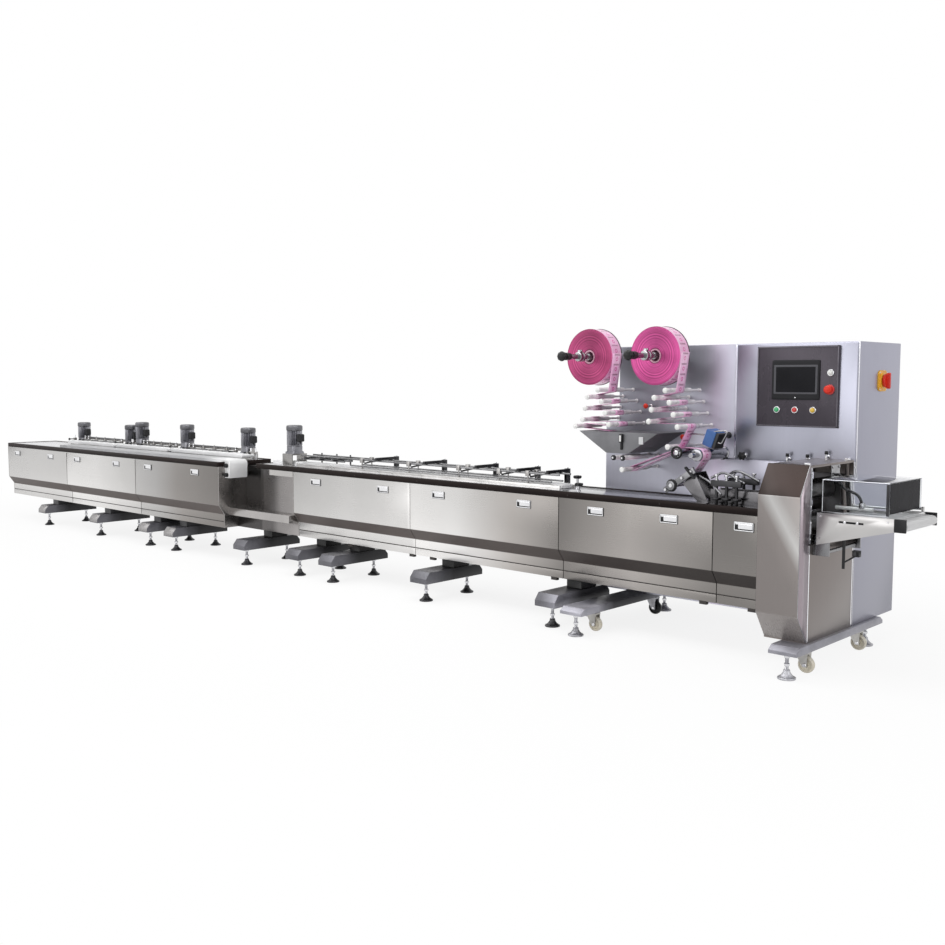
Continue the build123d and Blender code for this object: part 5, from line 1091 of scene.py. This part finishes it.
# End housing and jaws: a brown-grey lower housing whose corners carry bright strips as painted highlights, an open
# head on two round guide columns, dark cheek plates and a pair of sealing jaws between them.
machined_light = finish("machined_light", (0.58, 0.58, 0.62), (0.42, 0.42, 0.45), 0.24, 1.0, (200, 200, 10),
                        (5.0, 0.12), 0.02)
housing_steel = finish("housing_steel", (0.255, 0.228, 0.218), (0.205, 0.182, 0.173), 0.28, 1.0, (90, 90, 4),
                       (1.2, 0.08), 0.008)
softened("end_housing", 0.002, housing_steel)
strips = [slab((0.008, 0.478, 0.0022), 0.002, 0.0008, "x") + [4.2213, y, 0.410] for y in (-0.4515, 0.0470)]
shell("housing_corner_highlights", strips, edge_bright, "end_housing")
softened("jaw_cheeks", 0.0015, finish("cheek_dark", (0.11, 0.105, 0.11), (0.05, 0.048, 0.05), 0.26, 0.9,
                                      200, (5.0, 0.15), 0.04))
softened("sealing_jaws", 0.0015, dark_steel)
edge_bars = [slab((0.016, 0.370, 0.0030), 0.002, 0.0008, "x") + [4.2195, y, 0.842] for y in (-0.4460, 0.0420)]
shell("jaw_edge_bars", edge_bars, machined_light, "end_housing")
bar_screws = at(spun([(0.0048, 0.0), (0.0048, 0.0022), (0.0038, 0.0032)], "x", 14),
                [[4.2224, y, z] for y in (-0.4460, 0.0420) for z in (0.68, 0.76, 0.84, 0.92, 1.00)])
shell("jaw_bar_screws", [bar_screws], bright_plate, "end_housing")
nuts = spun([(0.014, 0.0), (0.016, 0.002), (0.016, 0.010), (0.013, 0.012)], "z", 6)
shell("column_nuts", [at(nuts, [[4.1895, y, 1.0368] for y in (-0.430, 0.026)])], bright_plate, "end_housing",
      sharp=30.0)

# Outfeed: two steel side plates with a slot and a white belt between them, on a pair of braces. Cap screws and
# slotted bolts hold the belt bed.
plate_steel = finish("outfeed_steel", (0.58, 0.57, 0.565), (0.48, 0.47, 0.465), 0.32, 1.0, (4, 400, 400),
                     (2.0, 0.1), 0.03)
softened("outfeed_side_plates", 0.0012, plate_steel)
shell("slot_backing", [front_slab((0.118, 0.0085, 0.002), 0.004, 0.0005, [4.4155, -0.4222, 0.775])], black_plastic,
      "outfeed_side_plates")
shell("slot_bolts", [at(spun([(0.0055, -0.004), (0.0068, -0.0028), (0.0068, 0.0)], "y", 18),
                        [[4.385, -0.4295, 0.775], [4.446, -0.4295, 0.775]]),
                     at(spun([(0.0045, -0.003), (0.005, -0.002), (0.005, 0.0)], "y", 14),
                        [[4.262, -0.4295, 0.795], [4.262, -0.4295, 0.690], [4.590, -0.4295, 0.795]])],
      bright_plate, "outfeed_side_plates")
softened("outfeed_brace", 0.0015, machined)
softened("sensor_bracket", 0.001, black_plastic)
eye = spun([(0.007, -0.0105), (0.008, -0.0095), (0.008, 0.004)], "y", 20)
shell("sensor_eyes", [at(eye, [[4.4425, -0.430, 0.631]])], dark_steel, "sensor_bracket")

# Hold-down arm: a bent dark rod from the jaw head that carries a white bar over the belt, clamped with a
# plated block.
product_y = -0.175
arm_path = laid([4.2160, 4.2415, 4.2715, 4.3415, 4.3615], product_y, [0.975, 0.975, 0.919, 0.885, 0.832])
shell("hold_down_rod", [bent_rod(arm_path, 0.007, 14, 8)], dark_steel, "hold_down_arm", True)
white_bar = spun([(0.0078, 4.2315), (0.009, 4.2330), (0.009, 4.4090), (0.0078, 4.4105)], "x", 24)
shell("hold_down_bar", [white_bar + [0, product_y, 0.823]], white_cap, "hold_down_arm")
mount = slab((0.094, 0.062, 0.0058), 0.004, 0.001, "x") + [4.2136, product_y, 0.996]
joint_block = slab((0.026, 0.024, 0.026), 0.003, 0.0015, "z") + [4.3600, product_y, 0.826]
clamp_bolts = at(spun([(0.006, 0.0), (0.006, 0.004), (0.005, 0.005)], "x", 14),
                 [[4.2194, product_y + dy, 0.996 + dz] for dy in (-0.036, 0.036) for dz in (-0.020, 0.020)])
shell("hold_down_mount", [mount, joint_block, clamp_bolts], clamp_steel, "hold_down_arm")

# Clear guard: a folded acrylic cover over the outfeed that lifts on a rod along its back edge. Its sawn edges
# look pale, and a dark strip closes its outer end.
acrylic = finish("clear_acrylic", (0.93, 0.95, 0.96), (0.88, 0.90, 0.92), 0.015, 0.0, 6, (3.0, 0.05), 0.0)
tuned(acrylic, "Transmission Weight", 1.0)
tuned(acrylic, "IOR", 1.16)
softened("outfeed_guard", 0.0008, acrylic)
low, high = np.array(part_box("outfeed_guard"))
near = low[1] + 0.0015
edge_rows = [((low[0] + 0.001, near, high[2] - 0.0015), (high[0] - 0.001, near, high[2] - 0.0015), 0.0014),
             ((low[0] + 0.0015, near, low[2] + 0.001), (low[0] + 0.0015, near, high[2] - 0.001), 0.0014),
             ((low[0] + 0.001, near, low[2] + 0.0015), (high[0] - 0.001, near, low[2] + 0.0015), 0.0012)]
edges = [bent_rod([start, end], radius, 8, 2) for start, end, radius in edge_rows]
shell("guard_pale_edges", edges, edge_bright, "outfeed_guard")
dark_ends = [front_slab((0.014, 0.148, 0.002), 0.002, 0.0006, [high[0] - 0.008, low[1] + 0.0012, low[2] + 0.078]),
             bent_rod([(high[0] - 0.0015, low[1] + 0.002, high[2] - 0.002),
                       (high[0] - 0.0015, high[1] - 0.02, high[2] - 0.002)], 0.0018, 8, 2)]
smoked = finish("smoked_acrylic", (0.022, 0.021, 0.026), (0.009, 0.0085, 0.011), 0.18, 0.0, 6, (9.0, 0.08), 0.0)
tuned(smoked, "Specular IOR Level", 0.03)
depth, tall = high[1] - low[1] - 0.024, high[2] - low[2] - 0.014
pane = slab((depth, tall, 0.002), 0.004, 0.0006, "x")
pane = pane + [high[0] - 0.0055, (low[1] + high[1]) / 2, high[2] - 0.004 - tall / 2]
shell("guard_end_pane", [pane], smoked, "outfeed_guard")
shell("guard_dark_strip", dark_ends, dark_steel, "outfeed_guard")
